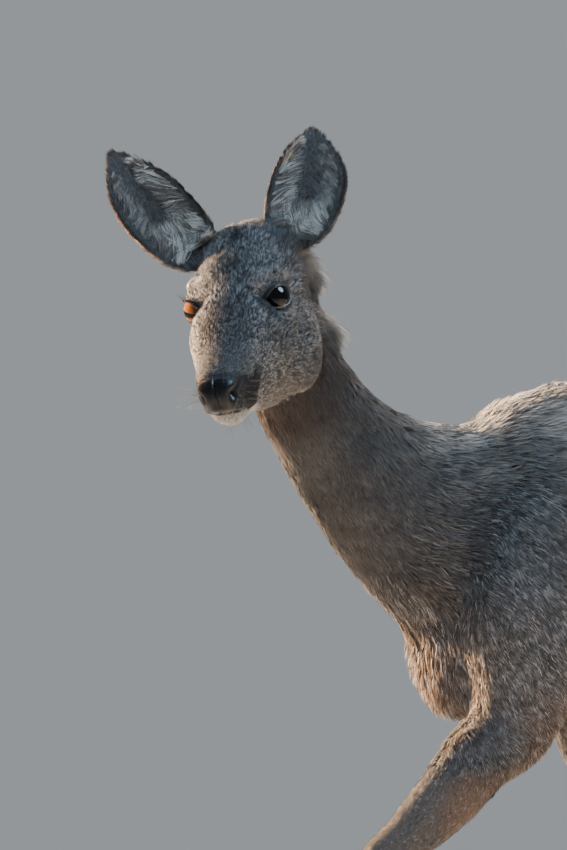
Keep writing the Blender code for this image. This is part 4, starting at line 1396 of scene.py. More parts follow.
    def grains(self, points: Array) -> Array:
        """A random number per small cell of a wavy grid, shared by the tufts that root in it."""
        cells = np.floor((points + 0.0008 * waves(points, 0.009, 85)[:, None]) / self.GRAIN)
        _, cell = np.unique(cells.astype(np.int64) @ np.array(self.CELL_PRIMES), return_inverse=True)
        return np.random.default_rng(6).random(cell.max() + 1)[cell]

    def grow(self, part: Part, finish: bpy.types.Material, number: int) -> bpy.types.Object:
        """Grow one piece of the coat.

        A tuft is a ribbon: its centre line leaves the skin at the lift's angle and bends over
        to lie along the hair; its width falls from the root to a point.

        Args:
            part: which piece.
            finish: its material.
            number: seeds the draw.

        Returns:
            The piece.
        """
        draw = np.random.default_rng(900 + number)
        found = self.shaped(self.roots(part, draw))
        return self.ribbons(part, found, finish, draw, self.markings.at(found["points"]))

    def outlines(self, part: Part, found: dict, draw: np.random.Generator) -> tuple[Array, Array]:
        """Bend the tufts over the skin and give them their width.

        Args:
            part: the piece of the coat.
            found: root, normal, lie, length, width and lift of each tuft.
            draw: gives the random numbers.

        Returns:
            The corners of each tuft, shaped (tufts, corners, 3), and a number for its lock.
        """
        root, normal, lie = found["points"], found["normals"], found["lie"]
        count = len(root)
        sway = np.cross(normal, lie) * (0.35 * waves(root, 0.022, 72))[:, None]
        way = flatten(lie + sway * 0.6 + draw.normal(size=(count, 3)) * part.stray, normal)
        length = (found["length"] * draw.uniform(*self.LENGTHS, count))[:, None]
        lift = np.radians(found["lift"] * draw.uniform(*self.LIFTS, count))[:, None]
        tips = root + length * (way * np.cos(lift * 0.6) + normal * np.sin(lift * 0.6))
        tips, lock = self.locks(part, root, tips)
        middles = root + length * 0.5 * (way * np.cos(lift) + normal * np.sin(lift))
        middles = middles + ((tips - root) * 0.5 - (middles - root)) * 0.4
        roll = np.radians(draw.normal(size=count) * self.ROLL)[:, None]
        across = unit(np.cross(normal, way) * np.cos(roll) + normal * np.sin(roll))
        half = (0.5 * part.fuller * found["width"] * draw.uniform(*self.WIDTHS, count))[:, None]
        base = root - normal * self.SUNK
        columns = [base - across * half, base + across * half]
        if part.bends:
            columns += [middles - across * half, middles + across * half]
        return np.stack([*columns, tips], axis=1), lock

    def ribbons(self, part: Part, found: dict, finish: bpy.types.Material,
                draw: np.random.Generator, marks: Array) -> bpy.types.Object:
        """Turn roots and fields into ribbons and put them in the scene.

        Args:
            part: the piece of the coat.
            found: root, normal, lie, length, width and lift of each tuft.
            finish: the material.
            draw: gives the random numbers.
            marks: how pale, dark, warm and white each tuft is.

        Returns:
            The piece.
        """
        corners, lock = self.outlines(part, found, draw)
        count, per = corners.shape[:2]
        faces = np.array(self.FACES[per])[None] + per * np.arange(count)[:, None, None]
        faces = faces.reshape(-1, 3)
        thing = mesh_object(part.name, corners.reshape(-1, 3), faces, finish)
        numbers = (draw.random(count), lock, self.grains(found["points"]))
        shades = [np.repeat(0.5 + (number - 0.5) * part.grain, per) for number in numbers]
        hair = np.stack([np.tile(self.ALONG[per], count), *shades], axis=1)
        put_colour(thing.data, "marks", np.repeat(marks, per, axis=0))
        put_colour(thing.data, "hair", hair)
        self.bake_map(thing, found["points"], per, faces)
        return thing

    def bake_map(self, thing: bpy.types.Object, root: Array, per: int, faces: Array) -> None:
        """Give every tuft a patch of the bake map at its root's place on the unwrapped skin.

        The unwrap is a cylinder's: the turn round the piece's own long axis one way, the place
        along that axis the other way.

        Args:
            thing: the piece.
            root: where its tufts are rooted.
            per: number of corners of a tuft.
            faces: its triangles.
        """
        centre = root.mean(axis=0)
        _, _, ways = np.linalg.svd((root - centre)[:: max(len(root) // 4000, 1)],
                                   full_matrices=False)
        local = (root - centre) @ ways.T
        turn = np.arctan2(local[:, 2], local[:, 1]) / (2 * pi) + 0.5
        along = (local[:, 0] - local[:, 0].min()) / max(np.ptp(local[:, 0]), 1e-6)
        margin = self.PATCH
        place = np.stack([turn, along], axis=1) * (1 - 4 * margin) + 2 * margin
        spread = place[:, None] + np.array(self.ON_MAP[per])[None] * (self.PATCH / 2)
        layer = thing.data.uv_layers.new(name="OFBake")
        layer.data.foreach_set("uv", spread.reshape(-1, 2)[faces.ravel()].astype(np.float32).ravel())

    def ear_lining(self, side: Side, finish: bpy.types.Material) -> bpy.types.Object:
        """Long pale hairs that start near both edges of the ear's inside and lean to its middle.

        Args:
            side: which ear.
            finish: the material.

        Returns:
            The piece.
        """
        ear = self.body.ears[side]
        draw = np.random.default_rng(990 + side.value)
        points = self.skin.fields["points"][self.triangles].mean(axis=1)
        share, across, _ = ear.local(points)
        low, high = self.LINING_SHARE
        inside = (ear.in_front(points) > 0.5) & (ear.away(points) < self.LINING_REACH)
        inside &= (share > low) & (share < high) & (np.abs(across) < self.LINING_ACROSS)
        weight = inside * self.areas
        edge = smooth(0.40, 0.70, np.abs(across)) + 0.06 + 0.9 * smooth(0.34, 0.12, share)
        weight = weight * edge
        part = Part(f"coat_{side.word}_ear_lining", "ear", self.LINING_TUFTS,
                    lock=0.0050, gather=0.55, stray=0.24)
        picked = draw.choice(len(weight), part.tufts, p=weight / weight.sum())
        mix = unit(draw.random((part.tufts, 3))) ** 2
        root = self.blended("points", picked, mix)
        normal = unit(self.blended("normals", picked, mix))
        share, across, _ = ear.local(root)
        lean = np.clip(across * 1.25, -1, 1)[:, None]
        swirl = np.stack([waves(root, 0.016, 65 + k) for k in range(3)], axis=1)
        way = unit(ear.along * (0.55 + 0.25 * draw.random((part.tufts, 1))) - ear.outer * lean * 0.85
                   + 0.42 * swirl)
        inner = smooth(0.25, -0.25, across)
        near_edge = smooth(0.30, 0.80, np.abs(across)) * (0.30 + 0.70 * inner)
        foot = smooth(0.42, 0.18, share)
        full = np.maximum(near_edge, 0.9 * foot)
        length = (0.011 + 0.014 * full) * (0.45 + 0.55 * smooth(0.90, 0.55, share))
        found = {"points": root, "normals": normal, "lie": flatten(way, normal), "length": length,
                 "width": np.full(part.tufts, self.LINING_WIDTH), "lift": 22 + 14 * full}
        # Painted light: the side's factor makes the right ear's lining paler, as if lit by the sun.
        streak = (0.25 + 0.75 * smooth(-0.4, 0.5, waves(root, 0.008, 64))) * self.LINING[side]
        white = (0.03 + 0.50 * full) * streak ** 1.5
        marks = np.stack([0.60 * streak * full + 0.12, 0.55 * (1 - streak * full),
                          0.34 * np.ones(part.tufts), white], axis=1)
        return self.ribbons(part, found, finish, draw, marks)


@dataclass
class Whiskers:
    """Long stiff hairs on the upper lips and the chin."""

    body: Anatomy
    skin: Skin

    LIP_COUNT = 13                   # on each side
    CHIN_COUNT = 10
    RADIUS = 0.00016
    BEND = 0.30
    SUNK = 0.001                     # how deep their roots sit in the skin
    MUZZLE = (0.10, 0, -0.03)        # middle of what they may grow from, along the head's axes
    REACH = 0.06                     # and its radius
    CURL = (-0.5, 0.0, -0.4)         # the way they bend, along the head's axes

    def grow(self, finish: bpy.types.Material) -> bpy.types.Object:
        """Grow them from the nearest places of the skin."""
        draw = np.random.default_rng(77)
        seats, ways, lengths = [], [], []
        for side in Side:
            left = -side.value
            for _ in range(self.LIP_COUNT):
                ahead = draw.uniform(0.096, 0.114)
                seats.append((ahead, left * draw.uniform(0.016, 0.026), draw.uniform(-0.039, -0.020)))
                ways.append((draw.uniform(-0.5, 0.35), left, draw.uniform(-0.55, 0.05)))
                lengths.append(draw.uniform(0.016, 0.034))
            for _ in range(self.CHIN_COUNT):
                seats.append((draw.uniform(0.090, 0.114), left * draw.uniform(0.002, 0.014), -0.056))
                ways.append((draw.uniform(-0.2, 0.6), left * draw.uniform(0.1, 0.7), -1.0))
                lengths.append(draw.uniform(0.010, 0.020))
        place = self.body.head.to_row(np.array(seats))
        skin = self.skin.fields["points"]
        near = skin[size_of(skin - self.body.head.to_row(self.MUZZLE)) < self.REACH]
        gap = np.linalg.norm(place[:, None] - near[None], axis=2)
        root = near[np.argmin(gap, axis=1)]
        way = unit(self.body.head.turn(np.array(ways)))
        curl = np.tile(self.body.head.turn(self.CURL), (len(root), 1))
        return hair_cones("whiskers", root - way * self.SUNK, way, curl, np.array(lengths),
                          self.RADIUS, self.BEND, finish)


# --------------------------------------------------------------------------------------------
# Shader nodes


class Value:
    """A shader socket that adds Math nodes when it is used in a sum or a product."""

    def __init__(self, nodes: "Shader", socket: bpy.types.NodeSocket) -> None:
        """Wrap an output socket of a material."""
        self.nodes = nodes
        self.socket = socket

    def math(self, operation: str, *others: "Value | float") -> "Value":
        """A Math node of this socket and others."""
        return self.nodes.node("ShaderNodeMath", {"operation": operation},
                               {n: value for n, value in enumerate((self, *others))})

    def __add__(self, other: "Value | float") -> "Value":
        """Sum."""
        return self.math("ADD", other)

    __radd__ = __add__

    def __mul__(self, other: "Value | float") -> "Value":
        """Product."""
        return self.math("MULTIPLY", other)

    __rmul__ = __mul__

    def __sub__(self, other: "Value | float") -> "Value":
        """This less the other."""
        return self.math("SUBTRACT", other)

    def __rsub__(self, other: float) -> "Value":
        """The other less this."""
        return self.nodes.node("ShaderNodeMath", {"operation": "SUBTRACT"}, {0: other, 1: self})

    def step(self, low: float, high: float) -> "Value":
        """Smooth step from 0 at low to 1 at high."""
        return self.nodes.node("ShaderNodeMapRange", {"interpolation_type": "SMOOTHSTEP"},
                               {"Value": self, "From Min": low, "From Max": high})

    def power(self, exponent: float) -> "Value":
        """This raised to a power."""
        return self.math("POWER", exponent)


class Shader:
    """A material whose nodes are added through one method."""

    def __init__(self, name: str, **constants: object) -> None:
        """A Principled material with the given constant socket values."""
        self.material = bpy.data.materials.new(name)
        self.material.use_nodes = True
        self.tree = self.material.node_tree
        self.surface = self.tree.nodes["Principled BSDF"]
        for socket, value in constants.items():
            self.surface.inputs[socket.replace("_", " ")].default_value = value

    def node(self, kind: str, settings: dict, sockets: dict, output: str | int = 0) -> Value:
        """Add a node.

        Args:
            kind: the node's type.
            settings: its properties, such as a Math node's operation.
            sockets: numbers, colours or links of its inputs, by name or place.
            output: which output is given back.

        Returns:
            The wrapped output.
        """
        made = self.tree.nodes.new(kind)
        for name, value in settings.items():
            setattr(made, name, value)
        for name, value in sockets.items():
            if isinstance(value, Value):
                self.tree.links.new(value.socket, made.inputs[name])
            else:
                made.inputs[name].default_value = value
        return Value(self, made.outputs[output])

    def channel(self, name: str) -> tuple[Value, Value, Value, Value]:
        """The four numbers of a colour attribute."""
        source = self.tree.nodes.new("ShaderNodeAttribute")
        source.attribute_name = name
        split = self.tree.nodes.new("ShaderNodeSeparateColor")
        self.tree.links.new(source.outputs["Color"], split.inputs["Color"])
        return (*(Value(self, out) for out in split.outputs), Value(self, source.outputs["Alpha"]))

    def places(self) -> Value:
        """Object coordinates."""
        return self.node("ShaderNodeTexCoord", {}, {}, "Object")

    def noise(self, vector: Value, scale: float, detail: float) -> Value:
        """Noise of about 0 to 1."""
        return self.node("ShaderNodeTexNoise", {},
                         {"Vector": vector, "Scale": scale, "Detail": detail}, "Fac")

    def mix(self, factor: "Value | float", first: object, second: object, how: str = "MIX") -> Value:
        """Mix two colours."""
        colours = {name: value if isinstance(value, Value) else (*value, 1.0)
                   for name, value in ((6, first), (7, second))}
        return self.node("ShaderNodeMix", {"data_type": "RGBA", "blend_type": how},
                         {0: factor, **colours}, 2)

    def stretch(self, vector: Value, scale: tuple[float, float, float]) -> Value:
        """Coordinates scaled by a different amount each way."""
        return self.node("ShaderNodeMapping", {}, {"Vector": vector, "Scale": scale})

    def feed(self, socket: str, value: Value) -> None:
        """Link a value to one of the surface's sockets."""
        self.tree.links.new(value.socket, self.surface.inputs[socket])

    def bump(self, height: Value, distance: float, strength: float) -> None:
        """Feed a height to the surface's normal."""
        sockets = {"Strength": strength, "Distance": distance, "Height": height}
        self.feed("Normal", self.node("ShaderNodeBump", {}, sockets, "Normal"))


Colour = tuple[float, float, float]


@dataclass(frozen=True)
class CoatFinish:
    """Colours of the hair, and how they answer the markings.

    The attribute "marks" holds how pale, dark, warm and white the coat is.  The attribute "hair"
    holds the place along the hair (0 root, 1 tip) and random numbers of the tuft, of the lock it
    is in, and of the small grain it shares with its neighbours.  On the skin itself the last one
    is how bare the place is.
    """

    name: str
    root: Colour = (0.024, 0.020, 0.018)
    tip: Colour = (0.076, 0.076, 0.077)
    pale: Colour = (0.34, 0.335, 0.325)
    frost: Colour = (0.40, 0.405, 0.41)
    dark: Colour = (0.007, 0.006, 0.0065)
    warm: Colour = (0.20, 0.098, 0.040)
    white: Colour = (0.80, 0.77, 0.70)
    roughness: float = 0.62

    def make(self, bare: bool = False) -> bpy.types.Material:
        """Build the material.

        Args:
            bare: for the skin itself, which has a wet nose and no place along a hair.

        Returns:
            The material.
        """
        shader = Shader(self.name, Roughness=self.roughness, Specular_IOR_Level=0.14,
                        Coat_Roughness=0.20)
        pale, dark, warm, white = shader.channel("marks")
        along, single, lock, last = shader.channel("hair")
        places = shader.places()
        grain = shader.noise(places, 420.0, 1.0) if bare else last
        patch = shader.noise(places, 34.0, 3.0)
        colour = shader.mix(along.step(0.05, 0.85), self.root, self.tip)
        speckle = (single.step(0.58, 0.92) * 0.60 + lock.step(0.50, 0.95) * 0.30)
        colour = shader.mix(speckle * along.step(0.25, 0.9), colour, self.pale)
        shade = (1 - single.step(0.0, 0.45)) * 0.65 + (1 - lock.step(0.0, 0.40)) * 0.25
        colour = shader.mix(shade, colour, self.dark)
        colour = shader.mix(warm * (0.55 + 0.45 * single), colour, self.warm)
        colour = shader.mix(pale * (0.35 + 0.65 * along) * (0.6 + 0.4 * single), colour, self.pale)
        colour = shader.mix(grain.step(0.62, 0.88) * 0.90, colour, self.frost)
        colour = shader.mix(grain.step(0.48, 0.12) * 0.85, colour, self.dark)
        colour = shader.mix(dark * (0.93 + 0.07 * single), colour, self.dark)
        colour = shader.mix(white * (0.70 + 0.30 * along), colour, self.white)
        tone = 0.80 + 0.40 * patch
        grey = shader.node("ShaderNodeCombineColor", {}, {0: tone, 1: tone, 2: tone}, "Color")
        colour = shader.mix(0.7, colour, grey, "MULTIPLY")
        if bare:
            wet = last.step(0.06, 0.45)
            black = shader.mix(shader.noise(places, 900.0, 2.0), (0.002, 0.002, 0.003),
                               (0.006, 0.006, 0.007))
            colour = shader.mix(wet, colour, black)
            pebbles = shader.node("ShaderNodeTexVoronoi", {}, {"Vector": places, "Scale": 950.0})
            hairs = shader.noise(shader.stretch(places, (1.0, 1.0, 0.35)), 900.0, 3.0)
            shader.bump(hairs * (1 - wet) + pebbles * wet * 0.6, 0.0006, 0.8)
            shader.feed("Roughness", self.roughness + (0.30 - self.roughness) * wet)
            shader.feed("Coat Weight", wet * 0.14)
        shader.feed("Base Color", colour)
        return shader.material


@dataclass(frozen=True)
class EyeFinish:
    """A wet eye: a black slot of a pupil in an amber iris, with a dark brown rim round it."""

    name: str = "wet_eye"
    pupil: Colour = (0.0015, 0.0015, 0.002)
    iris: Colour = (0.135, 0.050, 0.015)
    iris_edge: Colour = (0.030, 0.011, 0.004)
    white: Colour = (0.010, 0.006, 0.005)

    def make(self) -> bpy.types.Material:
        """Build the material.

        The attribute "iris" holds the place across and up as shares of the radius, and how
        narrow the pupil is: 0 leaves the eye black, 1 leaves a thin bar in an amber iris.
        """
        shader = Shader(self.name, Roughness=0.03, Specular_IOR_Level=0.26, IOR=1.40)
        across, up, narrow, _ = shader.channel("iris")
        far = (across * across + up * up).power(0.5)
        tall = (up - 0.10) * (1.15 + narrow * 3.6)
        slot = ((across * 1.04) * (across * 1.04) + tall * tall).power(0.5)
        edge = far - narrow * 0.24
        rays = shader.noise(shader.places(), 1400.0, 3.0)
        colour = shader.mix(rays, self.iris_edge, self.iris)
        colour = shader.mix(edge.step(0.62, 0.80), colour, self.iris_edge)
        colour = shader.mix(edge.step(0.78, 0.86), colour, self.white)
        colour = shader.mix(1 - slot.step(0.84, 1.04), colour, self.pupil)
        shader.feed("Base Color", colour)
        return shader.material


@dataclass(frozen=True)
class PlainFinish:
    """One colour with soft mottling and a fine bump: lids, claws, lashes and whiskers."""

    name: str
    colour: Colour
    second: Colour
    roughness: float
    scale: float                     # of the mottling, in spots per metre
    bump: float                      # height of the bump
    stretch: tuple[float, float, float] = (1.0, 1.0, 1.0)

    def make(self) -> bpy.types.Material:
        """Build the material."""
        shader = Shader(self.name, Roughness=self.roughness, Specular_IOR_Level=0.45)
        places = shader.stretch(shader.places(), self.stretch)
        mottle = shader.noise(places, self.scale, 3.0)
        shader.feed("Base Color", shader.mix(mottle.step(0.3, 0.7), self.colour, self.second))
        shader.feed("Roughness", self.roughness - 0.12 + mottle * 0.24)
        shader.bump(mottle, self.bump, 0.7)
        return shader.material


LID_RIM = PlainFinish("lid_rim", (0.006, 0.005, 0.005), (0.012, 0.010, 0.009), 0.42, 700.0, 0.0002)
LASH = PlainFinish("lash", (0.010, 0.008, 0.007), (0.016, 0.012, 0.010), 0.45, 900.0, 0.0001)
WHISKER = PlainFinish("whisker", (0.05, 0.042, 0.034), (0.18, 0.155, 0.12), 0.40, 300.0, 0.0001)
CLAW_HORN = PlainFinish("claw_horn", (0.016, 0.013, 0.011), (0.045, 0.038, 0.032), 0.42, 240.0, 0.0003,
                        (1.0, 1.0, 4.0))
PALE_FLOOR = PlainFinish("pale_floor", (0.43, 0.43, 0.42), (0.46, 0.46, 0.45), 0.75, 3.0, 0.0002)


# --------------------------------------------------------------------------------------------
# Eyes, lids and lashes


@dataclass
class Eye:
    """One eyeball with its cornea, the rims of its lids and the upper lashes."""

    side: Side
    frame: EyeFrame
    opening: LidOpening = LidOpening()
    rings: int = 40
    around: int = 72
    cornea: float = 0.0007           # rise of the cornea over the ball
    lash_count: int = 26

    # Painted light: the right eye's pupil is narrowed so its amber iris shows, as an eye in sunlight; the
    # left stays black.
    NARROW = {Side.LEFT: 0.0, Side.RIGHT: 1.0}       # how far each pupil has closed
    LID_GRID = (96, 18)              # points round the opening, and round the roll
    LASH_SCALE = 1.06                # where the lashes start, against the opening
    LASH_HEIGHT = 0.0012             # over the eyeball
    LASH_RADIUS = 0.00013
    LASH_BEND = 0.55

    def ball(self, finish: bpy.types.Material) -> bpy.types.Object:
        """The eyeball: a sphere about the gaze whose front rises in a bell over the iris."""
        polar = np.linspace(0.03, pi - 0.03, self.rings)[:, None]
        turn = np.linspace(0, 2 * pi, self.around, endpoint=False)[None, :]
        radius = EyeFrame.RADIUS + self.cornea * bell(polar, radians(34))
        local = np.stack([radius * np.sin(polar) * np.cos(turn), radius * np.sin(polar) * np.sin(turn),
                          radius * np.cos(polar) * np.ones_like(turn)], axis=-1)
        points, faces = closed_tube(self.frame.to_row(local.reshape(-1, 3)).reshape(local.shape))
        name = f"{self.side.word}_eyeball"
        thing = mesh_object(name, points, self.outward(points, faces), finish)
        place = self.frame.local(points) / EyeFrame.RADIUS
        # Painted light: each side's pupil width is set by how that eye is lit.
        place[:, 2] = self.NARROW[self.side]
        put_colour(thing.data, "iris", place)
        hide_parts(f"{self.side.word}_eye")
        return thing

    def outward(self, points: Array, faces: Array) -> Array:
        """Faces turned so that the closed surface looks outwards."""
        corners = points[faces]
        volume = np.einsum("ij,ij->i", corners[:, 0] - points.mean(axis=0),
                           np.cross(corners[:, 1] - points.mean(axis=0),
                                    corners[:, 2] - points.mean(axis=0))).sum()
        return faces if volume > 0 else faces[:, ::-1]

    def rim_point(self, angle: Array, scale: Array | float, height: Array | float) -> Array:
        """Places round the opening, scaled about its middle and raised over the eyeball."""
        across, rise = self.opening.edge(angle, scale)
        reach = EyeFrame.RADIUS + height
        local = np.stack([reach * np.cos(rise) * np.sin(across), reach * np.sin(rise),
                          reach * np.cos(rise) * np.cos(across)], axis=-1)
        return self.frame.to_row(local.reshape(-1, 3)).reshape(local.shape)

    def lids(self, finish: bpy.types.Material) -> bpy.types.Object:
        """The rims of both lids: a rounded roll round the almond opening.

        The roll's section is half an ellipse over the eyeball, fuller above than below, and its
        underside closes it inside the eyeball and the skin.
        """
        angle = np.linspace(0, 2 * pi, self.LID_GRID[0], endpoint=False)[:, None]
        around = np.linspace(0, 2 * pi, self.LID_GRID[1], endpoint=False)[None, :]
        full = 1.0 + 0.35 * np.clip(np.sin(angle), 0, 1)
        scale = 1.095 - 0.105 * np.cos(around) * np.ones_like(angle)
        height = 0.0002 + 0.0011 * full * np.sin(around)
        points = self.rim_point(angle, scale, height).reshape(-1, 3)
        faces = grid_faces(*self.LID_GRID, round_rows=True)
        thing = mesh_object(f"{self.side.word}_lids", points, faces, finish)
        return turned_out(thing)

    def lashes(self, finish: bpy.types.Material) -> bpy.types.Object:
        """The upper lashes: thin cones that leave the lid outwards and curl up."""
        draw = np.random.default_rng(41 + self.side.value)
        angle = radians(22) + radians(136) * (np.arange(self.lash_count) + 0.5) / self.lash_count
        angle = angle + draw.normal(size=self.lash_count) * radians(1.5)
        root = self.rim_point(angle, self.LASH_SCALE, self.LASH_HEIGHT)
        out = unit(root - self.frame.centre)
        across = np.cos(angle)[:, None] * self.frame.axes[:, 0]
        way = unit(out * 0.9 + across * 0.55 + self.frame.axes[:, 1] * 0.10)
        curl = self.frame.axes[:, 1][None, :] * np.ones_like(way)
        length = 0.0085 * (0.75 + 0.25 * np.sin(angle)) * draw.uniform(0.75, 1.1, self.lash_count)
        return hair_cones(f"{self.side.word}_lashes", root, way, curl, length,
                          self.LASH_RADIUS, self.LASH_BEND, finish)


def hair_cones(name: str, root: Array, way: Array, curl: Array, length: Array, radius: float,
               bend: float, finish: bpy.types.Material) -> bpy.types.Object:
    """Separate stiff hairs, each a three-sided cone along a parabola.

    Args:
        name: the piece's name.
        root: where each hair starts.
        way: direction it starts in.
        curl: direction it bends towards.
        length: its length.
        radius: the radius of all of them at the root.
        bend: how far the tip is carried along curl, as a share of the length.
        finish: the material.

    Returns:
        The object that holds them all.
    """
    steps = np.array([0.0, 0.35, 0.70, 0.95])
    sides = 3
    share = steps[None, :, None]
    line = (root[:, None] + way[:, None] * (length[:, None, None] * share)
            + curl[:, None] * (bend * length[:, None, None] * share ** 2))
    first = unit(np.cross(way, curl + 1e-3))
    second = np.cross(way, first)
    turn = 2 * pi * np.arange(sides) / sides
    ring = (first[:, None, None] * np.cos(turn)[None, None, :, None]
            + second[:, None, None] * np.sin(turn)[None, None, :, None])
    thick = (radius * (1 - steps) ** 0.8)[None, :, None, None]
    body = line[:, :, None] + ring * np.maximum(thick, 0.00002)
    tip = root + way * length[:, None] + curl * (bend * length)[:, None]
    count = len(root)
    per = len(steps) * sides + 2
    points = np.concatenate([body.reshape(count, -1, 3), root[:, None], tip[:, None]], axis=1)
    one = tube_faces(len(steps), sides)
    faces = (one[None] + per * np.arange(count)[:, None, None]).reshape(-1, 3)
    thing = mesh_object(name, points.reshape(-1, 3), faces, finish)
    return turned_out(thing)


# --------------------------------------------------------------------------------------------
# Claws


@dataclass
class Claw:
    """A hoof's main claw or a dewclaw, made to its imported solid's box."""

    node: str

    GRID = (26, 48)                  # rings, and points in a ring
    RIDGES = 7                       # growth ridges of a main claw
    DEWCLAW_RIDGES = 3
    LEAN = 0.28                      # how far back the top lies, as a share of the length

    def build(self, finish: bpy.types.Material) -> bpy.types.Object:
        """The claw: rings from the sole to the coronet, pointed in front, with growth ridges."""
        low, high = (np.array(corner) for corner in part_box(self.node))
        size = high - low
        rows = np.linspace(0.0, 1.0, self.GRID[0])[:, None]
        turn = np.linspace(0, 2 * pi, self.GRID[1], endpoint=False)[None, :]
        if self.node.endswith("dewclaw"):
            form = np.sin(np.clip(rows, 0.02, 0.98) * pi) ** 0.6
            form = form * (1 + 0.03 * np.sin(rows * pi * 2 * self.DEWCLAW_RIDGES))
            along = 0.5 * form * np.cos(turn)
            across = 0.5 * form * np.sin(turn)
        else:
            edge = 1 - 0.10 * bell(rows, 0.05) - 0.25 * bell(rows - 1, 0.05)
            form = (1.0 - 0.36 * rows) * edge * (1 + 0.010 * np.sin(rows * pi * 2 * self.RIDGES))
            point = np.clip(-np.cos(turn), 0.0, 1.0)
            along = 0.47 * form * np.cos(turn) + (rows - 0.5) * self.LEAN
            across = 0.5 * (0.4 + 0.6 * form) * np.sin(turn) * (1.0 - 0.45 * point ** 2)
        centre = (low + high) / 2
        rings = np.stack([centre[0] + along * size[0] * 0.98, centre[1] + across * size[1] * 0.97,
                          low[2] + rows * size[2] * np.ones_like(turn)], axis=-1)
        points, faces = closed_tube(rings)
        thing = mesh_object(f"{self.node}_horn", points, faces, finish)
        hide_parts(self.node)
        return turned_out(thing)


# --------------------------------------------------------------------------------------------
# Studio


@dataclass(frozen=True)
class Lamp:
    """An area light, hung from the head's middle: towards the camera, to its right, and up."""

    name: str
    back: float
    right: float
    up: float
    size: float                      # diameter
    power: float                     # watts
    colour: Colour
    spread: float = pi               # angle of its cone
    aim: float = 0.5                 # 0 looks at the middle of the animal, 1 at its head
    mirrored: bool = False           # it only shows as a reflection in what is wet


LAMPS = (
    Lamp("key", 2.2, -0.5, 1.7, 1.5, 46.0, (0.40, 0.68, 1.0)),
    Lamp("fill", 2.4, 1.9, 0.3, 2.0, 5.0, (0.80, 0.90, 1.0)),
    Lamp("rim", -1.45, -2.05, 0.80, 0.30, 125.0, (1.0, 0.66, 0.38), spread=radians(44)),
    Lamp("low_sun", -0.90, -2.35, -0.25, 0.16, 2.4, (1.0, 0.66, 0.40), spread=radians(8), aim=1.0),
    Lamp("back", -1.9, 1.2, 1.9, 0.9, 520.0, (1.0, 0.93, 0.86)),
    Lamp("window", 0.7, 1.2, 1.5, 1.20, 150.0, (0.50, 0.74, 1.0), mirrored=True),
)


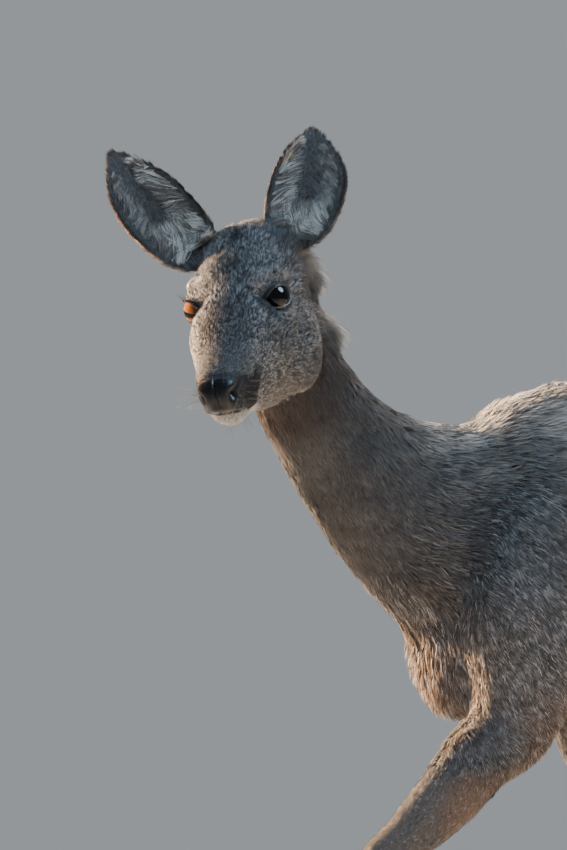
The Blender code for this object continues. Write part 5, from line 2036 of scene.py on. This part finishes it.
@dataclass
class Studio:
    """Floor, soft lights and the camera."""

    head: HeadFrame
    azimuth: float = radians(-25)
    distance: float = 6.0
    seen_height: float = 0.731       # what the picture's height takes in at the animal
    aim: tuple[float, float] = (0.0387, -0.1085)     # right of and above the head's middle
    floor_radius: float = 2.6
    floor_drop: float = 0.0002       # under the soles
    floor_sides: int = 96
    sky: tuple[float, ...] = (0.62, 0.67, 0.71, 1.0)
    sky_strength: float = 0.50

    def place(self) -> None:
        """Put everything in the scene."""
        self.floor()
        self.camera()
        self.world()
        for lamp in LAMPS:
            self.hang(lamp)

    def axes(self) -> tuple[Array, Array, Array]:
        """The camera's right, the row's up, and the way from the animal to the camera."""
        right = np.array([cos(self.azimuth), sin(self.azimuth), 0.0])
        back = np.array([sin(self.azimuth), -cos(self.azimuth), 0.0])
        return right, np.array([0.0, 0.0, 1.0]), back

    def camera(self) -> None:
        """A level camera with a long lens."""
        right, up, back = self.axes()
        data = bpy.data.cameras.new("camera")
        data.sensor_fit = "VERTICAL"
        data.sensor_height = 24.0
        data.lens = data.sensor_height * self.distance / self.seen_height
        thing = placed("camera", data)
        aim = self.head.origin + right * self.aim[0] + up * self.aim[1]
        thing.location = aim + back * self.distance
        thing.rotation_euler = (pi / 2, 0.0, self.azimuth)
        bpy.context.scene.camera = thing

    def hang(self, lamp: Lamp) -> None:
        """Put one area light in the scene, turned to what it looks at."""
        data = bpy.data.lights.new(lamp.name, "AREA")
        data.shape = "DISK"
        data.size = lamp.size
        data.energy = lamp.power
        data.color = lamp.colour
        data.spread = lamp.spread
        thing = placed(lamp.name, data)
        right, up, back = self.axes()
        place = self.head.origin + back * lamp.back + right * lamp.right + up * lamp.up
        thing.location = place
        thing.visible_glossy = lamp.mirrored
        thing.visible_diffuse = not lamp.mirrored
        low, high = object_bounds()
        target = (np.array(low) + np.array(high)) / 2
        target = target + (self.head.origin - target) * lamp.aim
        gaze = unit(target - place)
        thing.rotation_euler = (np.arccos(-gaze[2]), 0.0, np.arctan2(gaze[1], gaze[0]) - pi / 2)

    def floor(self) -> None:
        """A round pale floor: rings of points round a middle one."""
        sides = self.floor_sides
        turn = np.linspace(0, 2 * pi, sides, endpoint=False)
        rings = np.array([0.25, 0.5, 0.75, 1.0])[:, None] * self.floor_radius
        points = np.stack([rings * np.cos(turn), rings * np.sin(turn),
                           np.zeros((len(rings), sides)) - self.floor_drop], axis=-1).reshape(-1, 3)
        hub = len(points)
        points = np.concatenate([points, [(0.0, 0.0, -self.floor_drop)]])
        quads = grid_faces(len(rings), sides)
        first = np.arange(sides)
        inner = np.stack([np.full(sides, hub), first, (first + 1) % sides], axis=1)
        faces = np.concatenate([quads[:, [0, 2, 1]], quads[:, [0, 3, 2]], inner])
        mesh = bpy.data.meshes.new("floor")
        mesh.from_pydata(points.tolist(), [], faces.tolist())
        mesh.materials.append(PALE_FLOOR.make())
        placed("floor", mesh)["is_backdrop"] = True

    def world(self) -> None:
        """An even pale surround."""
        world = bpy.data.worlds.new("surround")
        world.use_nodes = True
        sockets = world.node_tree.nodes["Background"].inputs
        sockets["Color"].default_value = self.sky
        sockets["Strength"].default_value = self.sky_strength
        bpy.context.scene.world = world


def grow_skin(body: Anatomy, markings: Markings) -> Skin:
    """Make the skin and give it its markings."""
    skin = Skin(body)
    skin.build(CoatFinish("short_fur_over_skin").make(bare=True))
    mesh = skin.thing.data
    LOG.info("skin: %d faces", len(mesh.polygons))
    put_colour(mesh, "marks", markings.at(skin.fields["points"]))
    # Halfway along the hair: the skin takes a colour between root and tip, partly the hair's darker base
    # and partly painted shade between the tufts.
    hair = np.tile([0.5, 0.5, 0.5, 0.0], (len(mesh.vertices), 1))
    hair[:, 3] = skin.fields["bare"]
    put_colour(mesh, "hair", hair)
    return skin


def set_eyes(body: Anatomy) -> None:
    """Make both eyeballs with their lids and lashes."""
    wet_eye, rim, lash = EyeFinish().make(), LID_RIM.make(), LASH.make()
    for side in Side:
        eye = Eye(side, body.eyes[side])
        eye.ball(wet_eye)
        eye.lids(rim)
        eye.lashes(lash)


def grow_coat(body: Anatomy, skin: Skin, markings: Markings) -> None:
    """Grow every piece of the coat, and the linings of the ears."""
    grower = CoatGrower(body, skin, markings)
    grower.prepare()
    fur = CoatFinish("fur").make()
    for number, part in enumerate(PARTS):
        thing = grower.grow(part, fur, number)
        LOG.info("%s: %d triangles", thing.name, len(thing.data.polygons))
    for side in Side:
        grower.ear_lining(side, fur)


def main() -> None:
    """Build every piece in order."""
    logging.basicConfig(level=logging.INFO, format="%(message)s")
    FRAME.update(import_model())
    body = Anatomy()
    markings = Markings(body)
    skin = grow_skin(body, markings)
    set_eyes(body)
    horn = CLAW_HORN.make()
    for name in FRAME["nodes"]:
        if name.endswith(("hoof", "dewclaw")):
            Claw(name).build(horn)
    grow_coat(body, skin, markings)
    Whiskers(body, skin).grow(WHISKER.make())
    Studio(body.head).place()


if __name__ == "__main__":
    main()
